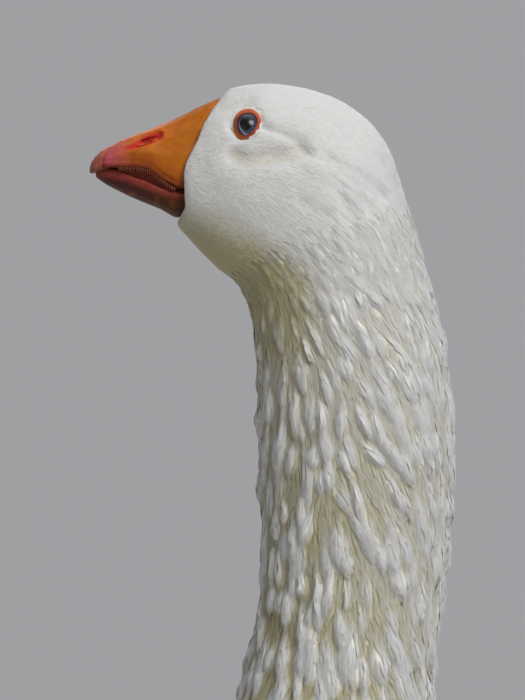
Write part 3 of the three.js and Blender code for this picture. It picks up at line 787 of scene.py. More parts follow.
def lay_crests(outline):
    """The crests' centre lines, headings, lengths, half widths and heights."""
    roots, far, *_ = scatter(outline, CRESTS, CREST_START, CREST_END)
    wobble = rng.normal(0, 1, (4, len(far)))
    length = varied(CRESTS, LENGTH, far, 0.25, wobble[0], 0.55, 1.6)
    half = varied(CRESTS, WIDTH, far, 0.24, wobble[1], 0.55, 1.6) / 2
    height = varied(CRESTS, RIDGE, far, 0.3, wobble[2], 0.4, 1.6)
    turns = np.radians(8) * wobble[3]
    centres, normals, headings = trace(outline, roots, length, turns, CREST_STATIONS)
    return list(zip(centres, headings, np.cross(headings, normals), length, half, height))


def neck_only(along):
    end = smoothstep(CREST_END + 20, CREST_END + 8, along)
    return smoothstep(HEAD_ZONE - 8, HEAD_ZONE, along) * end


def heap(surface, crests, along):
    """Heaps a surface up into the crests; gives each vertex's share of a crest and its way."""
    ways = lie(surface.points, surface.normals)
    rise = np.zeros(len(surface.points))
    tree = kd_tree(surface.points)
    for line, headings, besides, length, half, height in crests:
        near = numbers_within(tree, line[CREST_STATIONS // 2], 0.6 * length)
        t, step, away = place_along(surface.points[near], line)
        wide, ahead, behind = (look_up(CREST, HALF, t + d) for d in (0, 0.05, -0.05))
        across = (away * besides[step]).sum(axis=1) / np.maximum(half * wide, 0.01 * MM)
        round_over = np.clip(1 - across**2, 0, 1) ** 0.9
        lift = height * look_up(CREST, RISE, t) * round_over
        won = lift > rise[near]
        drift = across * (ahead - behind) * half / (0.1 * length)
        way = headings[step] + besides[step] * np.clip(drift, -0.6, 0.6)[:, None]
        rise[near[won]] = lift[won]
        ways[near[won]] = way[won]
    full = np.maximum(look_up(CRESTS, RIDGE, along), CREST_BASE) * MM
    fade = smoothstep(CREST_START - 4, CREST_START + 10, along)
    fade = fade * smoothstep(CREST_END + 4, CREST_END - 20, along)
    heaped = surface.spread(rise - 0.5 * full, 1)[:, 0] * fade
    surface.points += surface.normals * heaped[:, None]
    surface.refresh()
    crest = lerp(BETWEEN, surface.spread(np.clip(rise / full, 0, 1), 1)[:, 0], fade)
    return crest, along_surface(surface.spread(unit(ways), 1), surface.normals)


def build_relief(outline, crests):
    """The outline with the neck's coat gathered into long soft crests, which overlap."""
    relief, along, _ = copy_of(outline, 2, 14)
    crest, ways = heap(relief, crests, along)
    relief.index()
    relief.crest, relief.ways = crest, ways
    return relief


def unwrap_of(along, around):
    """The skin unrolled: round the spine across, along it upwards."""
    return 0.02 + 0.96 * np.stack([around / TURN + 0.5, along / UNROLLED], axis=1)


def keep_on_one_side(mesh, unwrap):
    """Faces that cross the belly's seam are kept on one side of the unwrap."""
    sizes = read(mesh, "polygons", "loop_total", 1, np.int32)
    face = np.repeat(np.arange(len(sizes)), sizes)
    high = np.full(len(sizes), -1.0)
    low = np.full(len(sizes), 2.0)
    np.maximum.at(high, face, unwrap[:, 0])
    np.minimum.at(low, face, unwrap[:, 0])
    crossing = (high - low)[face] > 0.5
    unwrap[crossing & (unwrap[:, 0] < 0.5), 0] = 0.98


# ---------------------------------------------------------------- feathers

PATCH = 0.003  # each feather's own patch in the OFBake map
SHAFT_WIDTH = 0.06  # half the shaft's width, as a share of the feather's half width
QUILL_SOFT, QUILL_SHAFT = 0.25, 0.35  # the long feathers' soft and shaft, as blades() takes them
ROOT_SINK = 1.8  # how deep the wings' long feathers are sunk at their roots, in mm
CREST_STATIONS = 8
CREST_BASE = 0.3  # the least full height of a crest, in mm
BETWEEN = 0.6  # how high on a crest a place counts where there are no crests
FACE_CREST = 0.75  # and on the face, outside its folds

# Profiles from root (0) to tip (1): place, half width, and how far the ridge stands up.
HALF, RISE = 1, 2
TUFT = np.array([(0, 0.5, 0.6), (0.4, 1, 1), (0.75, 0.72, 0.8), (1, 0, 0)])
STREAK = np.array([(0, 0.35, 0.5), (0.3, 0.9, 1), (0.55, 1, 1), (0.8, 0.66, 0.8),
                   (0.93, 0.3, 0.5), (1, 0, 0)])
CREST = np.array([(0, 0.3, 0), (0.2, 0.62, 0.4), (0.4, 0.92, 0.78), (0.58, 1, 1),
                  (0.72, 0.82, 0.95), (0.85, 0.5, 0.68), (0.94, 0.24, 0.32), (1, 0, 0)])
VANE = np.array([(0, 0.4, 0.4), (0.2, 0.75, 0.9), (0.5, 1, 1), (0.78, 0.95, 0.8),
                 (0.92, 0.62, 0.5), (1, 0, 0)])
QUILL = np.array([(0, 0.45, 0.6), (0.15, 0.85, 0.9), (0.5, 1, 1), (0.8, 0.96, 0.9),
                  (0.9, 0.8, 0.8), (0.96, 0.52, 0.6), (1, 0, 0.2)])

# Places across a feather, from edge (-1) to edge (1).
TUFT_ACROSS = np.linspace(-1, 1, 3)
VANE_ACROSS = np.linspace(-1, 1, 5)
QUILL_ACROSS = np.array([-1, -0.7, -0.35, -0.07, 0, 0.07, 0.35, 0.7, 1])


def trace(surface, roots, lengths, turns, stations):
    """Centre lines laid over the surface from their roots, following the lie of the coat."""
    lines = []
    here = roots
    cos, sin = np.cos(turns)[:, None], np.sin(turns)[:, None]
    for _ in range(stations + 1):
        here, face = surface.settle(here)
        normal = unit(surface.mixed(surface.normals, here, face))
        way = along_surface(surface.mixed(surface.ways, here, face), normal)
        way = way * cos + np.cross(normal, way) * sin
        lines.append((here, normal, way))
        here = here + way * (lengths / stations)[:, None]
    return [np.stack(values, axis=1) for values in zip(*lines)]


def upper_normals(points, normals, soft):
    """Normals of the blades' upper faces, softened towards those of the coat."""
    facing = np.cross(np.gradient(points, axis=2), np.gradient(points, axis=1))
    upper = unit(unit(facing) * (1 - soft) + normals[:, :-1, None, :] * soft)
    return np.concatenate([upper.reshape(len(points), -1, 3), normals[:, -1:, :]], axis=1)


def blades(name, lines, length, width, lift, home, profile, across, soft, ridge, droop,
           skew=0.0, shaft=0.0, stain=0.05):
    """Closed lens-shaped feathers as one mesh. The last centre of each line is its tip.

    lift is the height of each centre over the surface and home each root's place on the
    skin's unwrap. soft evens the shading out, ridge is the crown's height, droop how far the
    edges hang, skew moves the crown to one side, shaft raises a line along the feather, and
    stain is how much olive cream, stain and painted shade, it gets at each centre.
    """
    centres, normals, ways = lines
    count, stations = centres.shape[0], centres.shape[1] - 1
    columns = len(across)
    per = stations * columns + 1
    ridge, droop, skew = (np.broadcast_to(v, count)[:, None, None] for v in (ridge, droop, skew))
    t = steps(stations)
    half = (width[:, None] / 2) * look_up(profile, HALF, t)
    rise = look_up(profile, RISE, t)[:-1, None]
    shade = rng.random(count)
    crown = (1 - across**2) + shaft * bell(across, SHAFT_WIDTH)
    height = ridge * rise * crown - droop * np.abs(across) ** 2.4 * (0.4 + 0.6 * rise)
    beside = np.cross(ways, normals)
    middle = centres + normals * lift[..., None]
    shift = (across + skew * (1 - across**2)) * half[:, :-1, None]
    points = middle[:, :-1, None, :] + beside[:, :-1, None, :] * shift[..., None]
    points = points + normals[:, :-1, None, :] * height[..., None]
    vertices = np.concatenate([points.reshape(count, -1, 3), middle[:, -1:, :]], axis=1)

    k = np.arange(stations - 1)[:, None] * columns
    j = np.arange(columns)
    following = (j + 1) % columns
    quads = np.stack([k + j, k + following, k + columns + following, k + columns + j], axis=-1)
    last = (stations - 1) * columns
    tips = np.stack([last + j, last + following, np.full(columns, per - 1)], axis=-1)
    loops = np.concatenate([quads.ravel(), tips.ravel(), j[::-1]])
    sizes = np.concatenate([np.full(quads.size // 4, 4), np.full(columns, 3), [columns]])
    all_loops = (loops[None, :] + (np.arange(count) * per)[:, None]).ravel()
    mesh = mesh_from(name, vertices.reshape(-1, 3), all_loops, np.tile(sizes, count))

    under = np.concatenate([np.broadcast_to(j[:, None] == columns - 1, faces.shape).ravel()
                            for faces in (quads, tips)] + [np.ones(columns, dtype=bool)])
    each = [columns] * stations + [1]
    below, upper = -np.repeat(normals, each, axis=1), upper_normals(points, normals, soft)
    facing = np.where(under[:, None], below[:, loops], upper[:, loops])
    mesh.normals_split_custom_set(facing.reshape(-1, 3))

    ts = np.append(np.repeat(t[:-1], columns), 1.0)
    ss = np.append(np.tile(across, stations), 0.0)
    tone = np.broadcast_to(np.stack([ts, np.abs(ss)], axis=-1), (count, per, 2))
    tone = np.concatenate([tone, np.repeat(shade[:, None], per, axis=1)[..., None]], axis=-1)
    paint(mesh, "coat", tone.reshape(-1, 3))
    stain = np.broadcast_to(np.asarray(stain, dtype=float), (count, stations + 1))
    mark(mesh, "stain", np.repeat(stain, each, axis=1))
    sideways = np.append(shift.reshape(count, -1), np.zeros((count, 1)), axis=1)
    vane = np.stack([ts * length[:, None], sideways], axis=-1) / (10 * MM)
    patch = home[:, None, :] + np.stack([ss * PATCH / 2, (ts - 0.5) * PATCH], axis=-1)
    for layer, values in (("vane", vane), ("OFBake", patch)):
        put_uv(mesh, layer, values.reshape(-1, 2)[corners_of(mesh)])
    return mesh


BORDER = 4.0  # the pieces of the coat run into each other over about this distance, in mm
CROWD = 4.0  # how many places are tried for each cell of the spacing
SAME_SIDE = 0.2  # places whose normals agree less than this don't crowd each other


def scatter(surface, table, low, high):
    """Feather roots over part of the spine's length, evenly spread at the table's spacing."""
    corners = surface.points[surface.triangles]
    along, _ = along_and_around(corners.mean(axis=1))
    along = along + rng.normal(0, BORDER, len(along))
    one, two = corners[:, 1] - corners[:, 0], corners[:, 2] - corners[:, 0]
    area = np.linalg.norm(np.cross(one, two), axis=1) / 2 * ((along >= low) & (along < high))
    cell = (look_up(table, SPACING, along) * MM) ** 2 * look_up(table, STRETCH, along)
    face = np.repeat(np.arange(len(area)), rng.poisson(area / cell * CROWD))
    a, b = rng.random((2, len(face), 1))
    outside = a + b > 1
    a, b = np.where(outside, 1 - a, a), np.where(outside, 1 - b, b)
    places = corners[face, 0] + a * one[face] + b * two[face]
    order = rng.permutation(len(places))
    places, face = places[order], face[order]
    along, around = along_and_around(places)
    normals = unit(surface.mixed(surface.normals, places, face))
    ways = surface.mixed(surface.ways, places, face)
    grown = feather_size(places, along)
    gap, stretch = look_up(table, SPACING, along) * MM * grown, look_up(table, STRETCH, along)
    tree = kd_tree(places)
    alive = np.ones(len(places), dtype=bool)
    for i in range(len(places)):
        if not alive[i]:
            continue
        near = numbers_within(tree, places[i], gap[i] * stretch[i])
        offset = places[near] - places[i]
        lengthwise = offset @ ways[i]
        sideways = (offset**2).sum(axis=1) - lengthwise**2
        close = sideways + (lengthwise / stretch[i]) ** 2 < gap[i] ** 2
        facing = normals[near] @ normals[i] > SAME_SIDE
        alive[near[close & facing]] = False
        alive[i] = True
    return places[alive], along[alive], around[alive], normals[alive], grown[alive]


# The coat's pieces: name, where they start and end along the spine, surface, table, stations,
# places across, profile, how even the shading is, the lift of the roots, the middles and the
# tips in coat depths, and how far sizes vary.
NECK = ("relief", COAT, 5, TUFT_ACROSS, STREAK, 0.68, (-0.8, 0, -0.25), 0.25)
BODY = ("outline", BODY_COAT, 7, VANE_ACROSS, VANE, 0.4, (-0.85, -0.33, -0.02))
FACE = ("outline", COAT, 3, TUFT_ACROSS, TUFT, 0.82)
COAT_PIECES = (
    ("coat_face", -1, 55, *FACE, (-0.7, 0, -0.15), 0.12),
    ("coat_cheeks", 55, 95, *FACE, (-0.8, 0, -0.15), 0.14),
    ("coat_jaw", 95, 130, "relief", COAT, 4, TUFT_ACROSS, STREAK, 0.78, (-0.75, 0, -0.12), 0.18),
    ("coat_nape", 130, 185, "relief", COAT, 5, TUFT_ACROSS, STREAK, 0.7, (-0.8, 0, -0.25), 0.22),
    ("coat_neck_top", 185, 255, *NECK), ("coat_neck_upper", 255, 330, *NECK),
    ("coat_neck_middle", 330, 410, *NECK), ("coat_neck_lower", 410, 530, *NECK),
    ("coat_breast", 440, 660, *BODY, 0.16), ("coat_body", 660, 1200, *BODY, 0.14),
)
# The feather material of each piece that isn't "coat".
COAT_MATERIALS = {"coat_face": "face", "coat_cheeks": "face", "coat_breast": "vane",
                  "coat_body": "vane"}
WING_FACE = 0.55  # the outer face of a wing turns at least this much sideways
WING_BACK = -245.0  # behind this a wing carries only its own rows of feathers
# Above this line, as places along the goose and heights, the shoulders' feathers cover the wing.
SHOULDER_LINE = ((-245, 30), (347, 366))
# The lower edge of the wing. The scattered feathers cover the wing up to here.
WING_EDGE = ((-440, -345, -325, -300, -260, -220, -180, -140, -100, -60, -20),
             (0, 0, 322, 311, 285, 261, 246, 238, 236, 244, 265))
OVER_WING = 2.2 * MM  # how far the shoulders' feathers stand over the wing
WING_FRONT = -35.0  # ahead of this the small scattered feathers cover the wing as well
RING_CLEARANCE = 0.45  # how far outside the eye's ring the feathers start, in mm
RIM_CLEARANCE = 0.1  # and how far behind the skin's edge at the bill
# Where the thighs are, and how much smaller the feathers are at their lower ends.
THIGH = {"out": 30, "middle": -150, "half": 45, "smaller": 0.55}
BACK_LARGER = 0.85  # how much larger the feathers over the back are


def on_wings(points):
    """Which points lie on the wings."""
    near = np.zeros(len(points), dtype=bool)
    for i in np.flatnonzero(side(points)[:, 0] < WING_FRONT):
        place = Vector(points[i])
        near[i] = WING_TREE.find_nearest(place)[3] < BODY_TREE.find_nearest(place)[3]
    return near


def feather_size(points, along):
    """Feathers grow smaller down the thighs and larger over the shoulders and the back."""
    forward, up = side(points).T
    on_leg = np.abs(points[:, 0]) > THIGH["out"] * MM
    on_leg &= np.abs(forward - THIGH["middle"]) < THIGH["half"]
    small = THIGH["smaller"] * on_leg * smoothstep(160, 125, up)
    large = BACK_LARGER * smoothstep(330, 358, up) * smoothstep(600, 700, along)
    return (1 - small) * (1 + large * smoothstep(-380, -300, forward))


def bare(points, normals, winged):
    """Which places have no small feathers: the bill, the eyes' rings, and where long ones are."""
    flat = side(points)
    none = ahead_of_feathers(flat) > RIM_CLEARANCE - RIM_SET_BACK
    face = (np.abs(normals[:, 0]) > WING_FACE) & (above(SHOULDER_LINE, flat) < 0)
    none |= winged & (above(WING_EDGE, flat) > 0) & (face | (flat[:, 0] < WING_BACK))
    none |= flat[:, 0] < np.where(normals[:, 2] > 0, TAIL["covered_above"], TAIL["covered_below"])
    none |= (np.abs(points[:, 0]) > TAIL["rim"] * MM) & (flat[:, 0] < TAIL["rim_from"])
    for eye in EYES.values():
        none |= eye.beyond_ring(points) < RING_CLEARANCE
    return none


def build_coat(surfaces, materials):
    for name, low, high, ground, table, stations, across, profile, soft, lifts, vary in COAT_PIECES:
        surface = surfaces[ground]
        roots, far, around, normals, size = scatter(surface, table, low, high)
        winged = on_wings(roots)
        free = ~bare(roots, normals, winged)
        raised = winged & (np.abs(normals[:, 0]) > 0.3) & (above(SHOULDER_LINE, side(roots)) > 0)
        roots, far, around, size, raised = (v[free] for v in (roots, far, around, size, raised))
        wobble = rng.normal(0, 1, (6, len(far)))
        length = varied(table, LENGTH, far, vary, wobble[0], 0.55, 1.6) * size
        width = varied(table, WIDTH, far, vary, wobble[1], 0.55, 1.7) * size
        ridge = varied(table, RIDGE, far, vary, wobble[2], 0.4, 1.7)
        deep = look_up(table, DEPTH, far)[:, None] * MM * np.minimum(size, 1)[:, None]
        lines = trace(surface, roots, length, np.radians(7) * wobble[3], stations)
        lift = np.interp(steps(stations), (0, 0.5, 1), lifts)
        lift = (lift + 0.06 * wobble[4][:, None]) * deep + OVER_WING * raised[:, None]
        # stain and painted shade, more where a feather lies low between the crests
        stain = stain_and_shade_of(roots, far, around, surface.crest_at(lines[0]))
        mesh = blades(name, lines, length, width, lift, unwrap_of(far, around), profile, across, soft,
                      ridge, 0.4 * ridge, 0.2 * np.clip(wobble[5], -1.5, 1.5), stain=stain)
        add_piece(name, mesh, materials[COAT_MATERIALS.get(name, "coat")])


# ---------------------------------------------------------------- wings and tail

# Rows of the folded wing from the lowest layer up. Each has its feathers' number, the places
# [forward, up] of the lowest and the highest root, the same for the tips, the feathers'
# width, and the height of the row and of each next feather over the wing's form, in mm.
WING_ROWS = (
    ("primaries", 7, (-232, 298), (-236, 345), (-372, 341), (-455, 361), 22, -1.6, 0.4),
    ("secondaries", 10, (-62, 246), (-150, 334), (-192, 254), (-338, 336), 27, -1.6, 0.2),
    ("tertials", 5, (-128, 338), (-150, 374), (-312, 324), (-356, 352), 34, 0.2, 0.3),
    ("greater_coverts", 13, (-24, 266), (-96, 352), (-98, 240), (-186, 344), 24, -0.2, 0.08),
    ("median_coverts", 14, (14, 274), (-62, 364), (-44, 243), (-128, 352), 22, 0.1, 0.06),
    ("lesser_coverts", 14, (26, 296), (-34, 374), (-2, 262), (-86, 364), 20, 0.3, 0.05),
)
WING_STATIONS = 16
# The rows that lie on the body's outline, over the wing's own form.
ON_OUTLINE = ("median_coverts", "lesser_coverts")
# The long feathers over the upper edge of the folded wing: how far out from the edge, where
# the root and the tip are, and the width.
TERTIALS = ((9, -205, -352, 24), (5, -188, -384, 26), (0, -172, -414, 26), (-4, -160, -372, 24))
TERTIAL_STATIONS = 14
# The tail: where it has no small feathers, and its fan of long ones.
TAIL = {"covered_above": -425, "covered_below": -452, "rim": 46, "rim_from": -395,
        "feathers": 15, "root": (-380, 339), "tip": (-507, 361.5), "root_half": 36,
        "tip_half": 55, "width": 23, "lift": 0.6, "step": 1.75, "stations": 26, "tilt": 0.14,
        "shorter": 12, "sag": 3, "root_sink": 1.2, "flesh_end": -488}
SIDES = (1, -1)


def ease_along(values, rounds=3):
    """Evens out values along each line."""
    for _ in range(rounds):
        middle = (values[:, :-2] + 2 * values[:, 1:-1] + values[:, 2:]) / 4
        values = np.concatenate([values[:, :1], middle, values[:, -1:]], axis=1)
    return values


def wing_lines(form, row, sign):
    """The centre lines of a row, found on the wing's outer face, and their lengths."""
    count = row[1]
    root_low, root_high, tip_low, tip_high = (np.array(place) for place in row[2:6])
    share = np.linspace(0, 1, count)[:, None]
    roots, tips = lerp(root_low, root_high, share), lerp(tip_low, tip_high, share)
    roots = roots + rng.normal(0, 1.2, roots.shape)
    tips = tips + rng.normal(0, 1.2, tips.shape)
    t = steps(WING_STATIONS)[None, :, None]
    flat = lerp(roots[:, None, :], tips[:, None, :], t)
    reach = np.linalg.norm(tips - roots, axis=1)[:, None]
    flat[..., 1] -= 0.03 * reach * np.sin(math.pi * t[..., 0])
    places = np.array([spot(forward, up, 60.0 * sign) for forward, up in flat.reshape(-1, 2)])
    found = form.cast(places, np.array([-sign, 0.0, 0.0]))
    onto, normals = (ease_along(v.reshape(count, -1, 3)) for v in found)
    return (*along_lines(onto, normals), reach[:, 0] * MM)


def along_lines(centres, normals):
    """The centres, the normals squared up to the lines, and the direction along each line."""
    ways = unit(np.gradient(centres, axis=1))
    return centres, along_surface(normals, ways), ways


def joined(parts):
    return [np.concatenate(values) for values in zip(*parts)]


def add_quills(name, lines, length, width, lift, material, ridge, droop):
    """Long feathers with a shaft. lift is in mm, and so are the ridge and the droop."""
    home = unwrap_of(*along_and_around(lines[0][:, 0]))
    mesh = blades(name, lines, length, width, lift * MM, home, QUILL, QUILL_ACROSS, QUILL_SOFT,
                  ridge * MM, droop * MM, shaft=QUILL_SHAFT)
    add_piece(name, mesh, material)


def build_wings(outline, material):
    form = Surface(remeshed("wing_form", WINGS, 3), 6)
    form.index()
    t = steps(WING_STATIONS)
    for row in WING_ROWS:
        name, count, *_, width, base, step = row
        ground = outline if name in ON_OUTLINE else form
        *lines, length = joined([wing_lines(ground, row, sign) for sign in SIDES])
        order = np.tile(np.arange(count), 2)[:, None]
        widths = width * MM * (1 + 0.06 * rng.normal(0, 1, 2 * count))
        lift = base + step * order - ROOT_SINK * (1 - t) ** 2
        add_quills(f"wing_{name}", lines, length, widths, lift, material, 1.1, 0.7)
    build_tertials(form, material)
    bpy.data.meshes.remove(form.mesh)


def top_of(form, forward, sign):
    """The highest place of one wing's form at each place along the goose."""
    flat = side(form.points)
    tops = []
    for f in forward:
        near = np.flatnonzero((np.abs(flat[:, 0] - f) < 4) & (form.points[:, 0] * sign > 0))
        tops.append(form.points[near[form.points[near, 2].argmax()]])
    return ease_along(np.array(tops)[None], 6)[0]


def build_tertials(form, material):
    t = steps(TERTIAL_STATIONS)
    lines = []
    for sign in SIDES:
        for out, root, tip, _ in TERTIALS:
            places = top_of(form, root + (tip - root) * t, sign) + np.array([sign * out * MM, 0, 0])
            onto, normals = form.cast(places, DOWN, 0.05)
            normals = unit(0.35 * normals + np.array([0.25 * sign, 0, 1.0]))
            lines.append(along_lines(ease_along(onto[None], 6), ease_along(normals[None], 6)))
    _, root, tip, width = np.tile(np.array(TERTIALS).T, 2)
    order = np.tile(np.arange(len(TERTIALS)), 2)[:, None]
    lift = 0.1 + 0.35 * order - ROOT_SINK * (1 - t) ** 2
    add_quills("wing_tertials_top", joined(lines), (root - tip) * MM, width * MM, lift, material,
               1.0, 3.2)


def build_tail(material):
    form = Surface(remeshed("tail_form", ("tail",), 3), 4)
    form.index()
    count = TAIL["feathers"]
    u = np.linspace(-1, 1, count)[:, None]
    t = steps(TAIL["stations"])[None, :]
    (root_f, root_z), (tip_f, tip_z) = TAIL["root"], TAIL["tip"]
    forward = root_f + (tip_f + TAIL["shorter"] * u**2 - root_f) * t
    out = lerp(TAIL["root_half"] * u, TAIL["tip_half"] * u, t)
    up = root_z + (tip_z - root_z) * t - TAIL["sag"] * u**2
    centres = np.stack([out * MM, NECK_Y - forward * MM, up * MM], axis=-1)
    onto, normals = form.cast(centres.reshape(-1, 3), DOWN, 0.05)
    centres[..., 2] = np.maximum(centres[..., 2], onto.reshape(centres.shape)[..., 2])
    upright = unit(0.25 * normals.reshape(centres.shape) - DOWN)
    upright[..., 0] += TAIL["tilt"] * np.sign(u)
    lines = along_lines(ease_along(centres), unit(upright))
    lift = TAIL["lift"] + TAIL["step"] * (1 - np.abs(u)) - TAIL["root_sink"] * (1 - t) ** 2
    length, width = (np.full(count, size * MM) for size in (root_f - tip_f, TAIL["width"]))
    add_quills("tail_feathers", lines, length, width, lift, material, 1.0, 0.5)
    bpy.data.meshes.remove(form.mesh)


# ---------------------------------------------------------------- bill

BILL_ORANGE = srgb(172, 93, 4)
# painted highlight on the upper bill's upward-facing top
BILL_TOP_HIGHLIGHT = srgb(196, 104, 40)
BILL_BASE = srgb(166, 93, 0)
BILL_LOW = srgb(140, 66, 4)
BILL_PINK = srgb(182, 82, 88)
BILL_LIP = srgb(112, 42, 34)
NOSTRIL_RED = srgb(188, 30, 32)
# the lower bill's own darker red-brown, darkened further as painted shade under the upper bill
LOWER_FRONT_SHADED = srgb(74, 32, 30)
LOWER_BACK_SHADED = srgb(76, 39, 17)
LOWER_RIM = srgb(168, 70, 62)
# painted shade: in the gap of the mouth, under the upper bill and deep in the nostril
BILL_SHADE = srgb(56, 18, 16)

BILL_UNDER_SKIN = 4.5  # how far the bill runs back under the skin, in mm

# The nostril narrows forwards into a groove: its back end, its front end and half height.
NOSTRIL = {"back": (92.2, 803.8), "front": (111, 796), "half": 3.1, "deep": 1.3}
KNOB = (90.6, 804.6)
FOSSA = ((91, 801.2), (86, 804.8), (80, 809.2), (72, 812.5))
# The upper bill's cutting edge from the corner of the mouth forwards, and the lower bill's
# edge, as places along the goose and heights.
LIP = ((82, 86, 91, 96, 103, 112, 122), (776.4, 777.6, 781.4, 785.4, 787.2, 787.4, 787.6))
LOWER_EDGE = ((80, 92, 108, 122), (774.6, 777.4, 783.8, 786))


def laid_over(tone, *layers):
    """Colours laid over a tone in turn, each with how much of it there is at each vertex."""
    for amount, colour in layers:
        tone = lerp(tone, colour, np.clip(amount, 0, 1)[:, None])
    return tone


def add_painted(form, name, material, slot, nodes, tone, *layers):
    paint(form.mesh, "tone", laid_over(tone, *layers))
    return add_piece(name, form.mesh, material, nodes)


def tuck_under_skin(form):
    """Runs the back of the bill on under the skin."""
    form.points[:, 1] += smoothstep(0.3, 0.8, form.normals[:, 1]) * BILL_UNDER_SKIN * MM


def nostril_shape(flat):
    """How deep in the nostril each place is, from 0 outside to 1."""
    back, front = np.array(NOSTRIL["back"]), np.array(NOSTRIL["front"])
    axis = front - back
    offset = flat - back
    t = offset @ axis / (axis @ axis)
    beside = np.abs(offset @ unit(np.array([-axis[1], axis[0]])))
    half = NOSTRIL["half"] * np.interp(t, [-0.14, 0, 0.25, 0.55, 1], [0.15, 0.8, 1, 0.72, 0.3])
    inside = 1 - smoothstep(0.35, 1.15, beside / half)
    fade = smoothstep(-0.16, -0.04, t) * (1 - smoothstep(0.85, 1.05, t))
    return inside * fade * np.interp(t, [0, 0.5, 0.75, 1], [1, 1, 0.6, 0.3])


def build_upper_bill(material):
    form = Surface(remeshed("bill_upper", ("upper_bill",), 0.62), 10)
    flat = side(form.points)
    forward, over_lip = flat[:, 0], above(LIP, flat)
    sideways = smoothstep(0.25, 0.6, np.abs(form.normals[:, 0]))
    pit = nostril_shape(flat) * sideways
    lip, groove = bell(over_lip - 1.1, 1.2), bell(over_lip - 3.6, 0.9)
    fossa = bell(distance_to_line(flat, FOSSA), 1.2)
    knob = bell(np.linalg.norm(flat - KNOB, axis=1), 1.6)
    wrinkles = ribbed(flat, 0.75) * smoothstep(98, 84, forward) * smoothstep(12, 3, over_lip)
    rise = 0.45 * lip - 0.3 * groove - 0.35 * fossa + 0.5 * knob + 0.09 * wrinkles
    form.points += form.normals * ((rise * sideways - NOSTRIL["deep"] * pit) * MM)[:, None]
    tuck_under_skin(form)
    form.refresh()
    add_painted(form, "bill_upper", material, "bill", ("upper_bill",), BILL_ORANGE,
                # painted highlight where the bill faces up
                (smoothstep(0.35, 0.9, form.normals[:, 2]), BILL_TOP_HIGHLIGHT),
                (smoothstep(92, 78, forward) * 0.8, BILL_BASE),
                (smoothstep(13, 4, over_lip) * smoothstep(118, 104, forward) * 0.8, BILL_LOW),
                (smoothstep(104, 117, forward), BILL_PINK),
                (bell(over_lip, 3.0) * 0.9, BILL_LIP),
                # painted shade inside the mouth, below the cutting edge
                (smoothstep(-0.4, -1.4, over_lip) * 0.9, BILL_SHADE),
                (pit * 1.5, NOSTRIL_RED),
                # painted shade deep in the nostril
                (smoothstep(0.8, 1.0, pit) * 0.2, BILL_SHADE))


def build_lower_bill(material):
    form = Surface(remeshed("bill_lower", ("lower_bill",), 0.62), 10)
    flat = side(form.points)
    tuck_under_skin(form)
    tip_rim = smoothstep(106, 114, flat[:, 0]) * smoothstep(0.0, 0.7, form.normals[:, 2])
    form.points[:, 2] += 1.4 * tip_rim * MM
    form.refresh()
    add_painted(form, "bill_lower", material, "bill", ("lower_bill",), LOWER_FRONT_SHADED,
                (smoothstep(104, 90, flat[:, 0]), LOWER_BACK_SHADED),
                # painted shade on the lower bill's upper face, under the upper bill
                (smoothstep(0.4, 0.9, form.normals[:, 2]), BILL_SHADE),
                (smoothstep(-4.5, -1.0, above(LOWER_EDGE, flat)) * 0.55, LOWER_RIM))


def build_nail(material):
    form = Surface(remeshed("bill_tip", ("bill_nail",), 0.4), 8)
    add_painted(form, "bill_tip", material, "bill_nail", ("bill_nail",), srgb(150, 72, 66),
                (smoothstep(789.5, 785.5, form.points[:, 2] / MM), srgb(78, 46, 28)),
                # painted highlight where the nail faces up
                (smoothstep(0.5, 0.95, form.normals[:, 2]) * 0.5, srgb(190, 116, 92)))


# The plates that line the upper bill's edge and show in the gap of the mouth, and how far out
# they stand, as places along the goose and distances.
LAMELLAE = {"count": 26, "first": 84.5, "last": 112, "long": 2.6, "thick": 0.42, "wide": 0.8}
LAMELLAE_OUT = ((84, 97, 112, 122), (15.6, 14.4, 11.6, 8))


def build_lamellae(material):
    bm = bmesh.new()
    for forward in np.linspace(LAMELLAE["first"], LAMELLAE["last"], LAMELLAE["count"]):
        up = np.interp(forward, *LIP) - LAMELLAE["long"] * 0.2
        for sign in SIDES:
            centre = spot(forward, up, np.interp(forward, *LAMELLAE_OUT) * sign)
            made = bmesh.ops.create_cone(bm, cap_ends=True, segments=6, radius1=0.25 * MM,
                                         radius2=LAMELLAE["wide"] * MM, depth=LAMELLAE["long"] * MM)
            for vertex in made["verts"]:
                vertex.co.y *= LAMELLAE["thick"] / LAMELLAE["wide"]
                vertex.co += Vector(centre)
    mesh = bpy.data.meshes.new("bill_lamellae")
    bm.to_mesh(mesh)
    bm.free()
    paint(mesh, "tone", srgb(122, 70, 50))
    return add_piece("bill_lamellae", mesh, material)


# ---------------------------------------------------------------- eyes

# Their middles from the eye's axis, and their half sizes, in mm.
IRIS = {"forward": -1.4, "up": -0.2, "wide": 5.0, "high": 5.9}
PUPIL = {"forward": 0.2, "up": 0.0, "wide": 3.0, "high": 3.5}


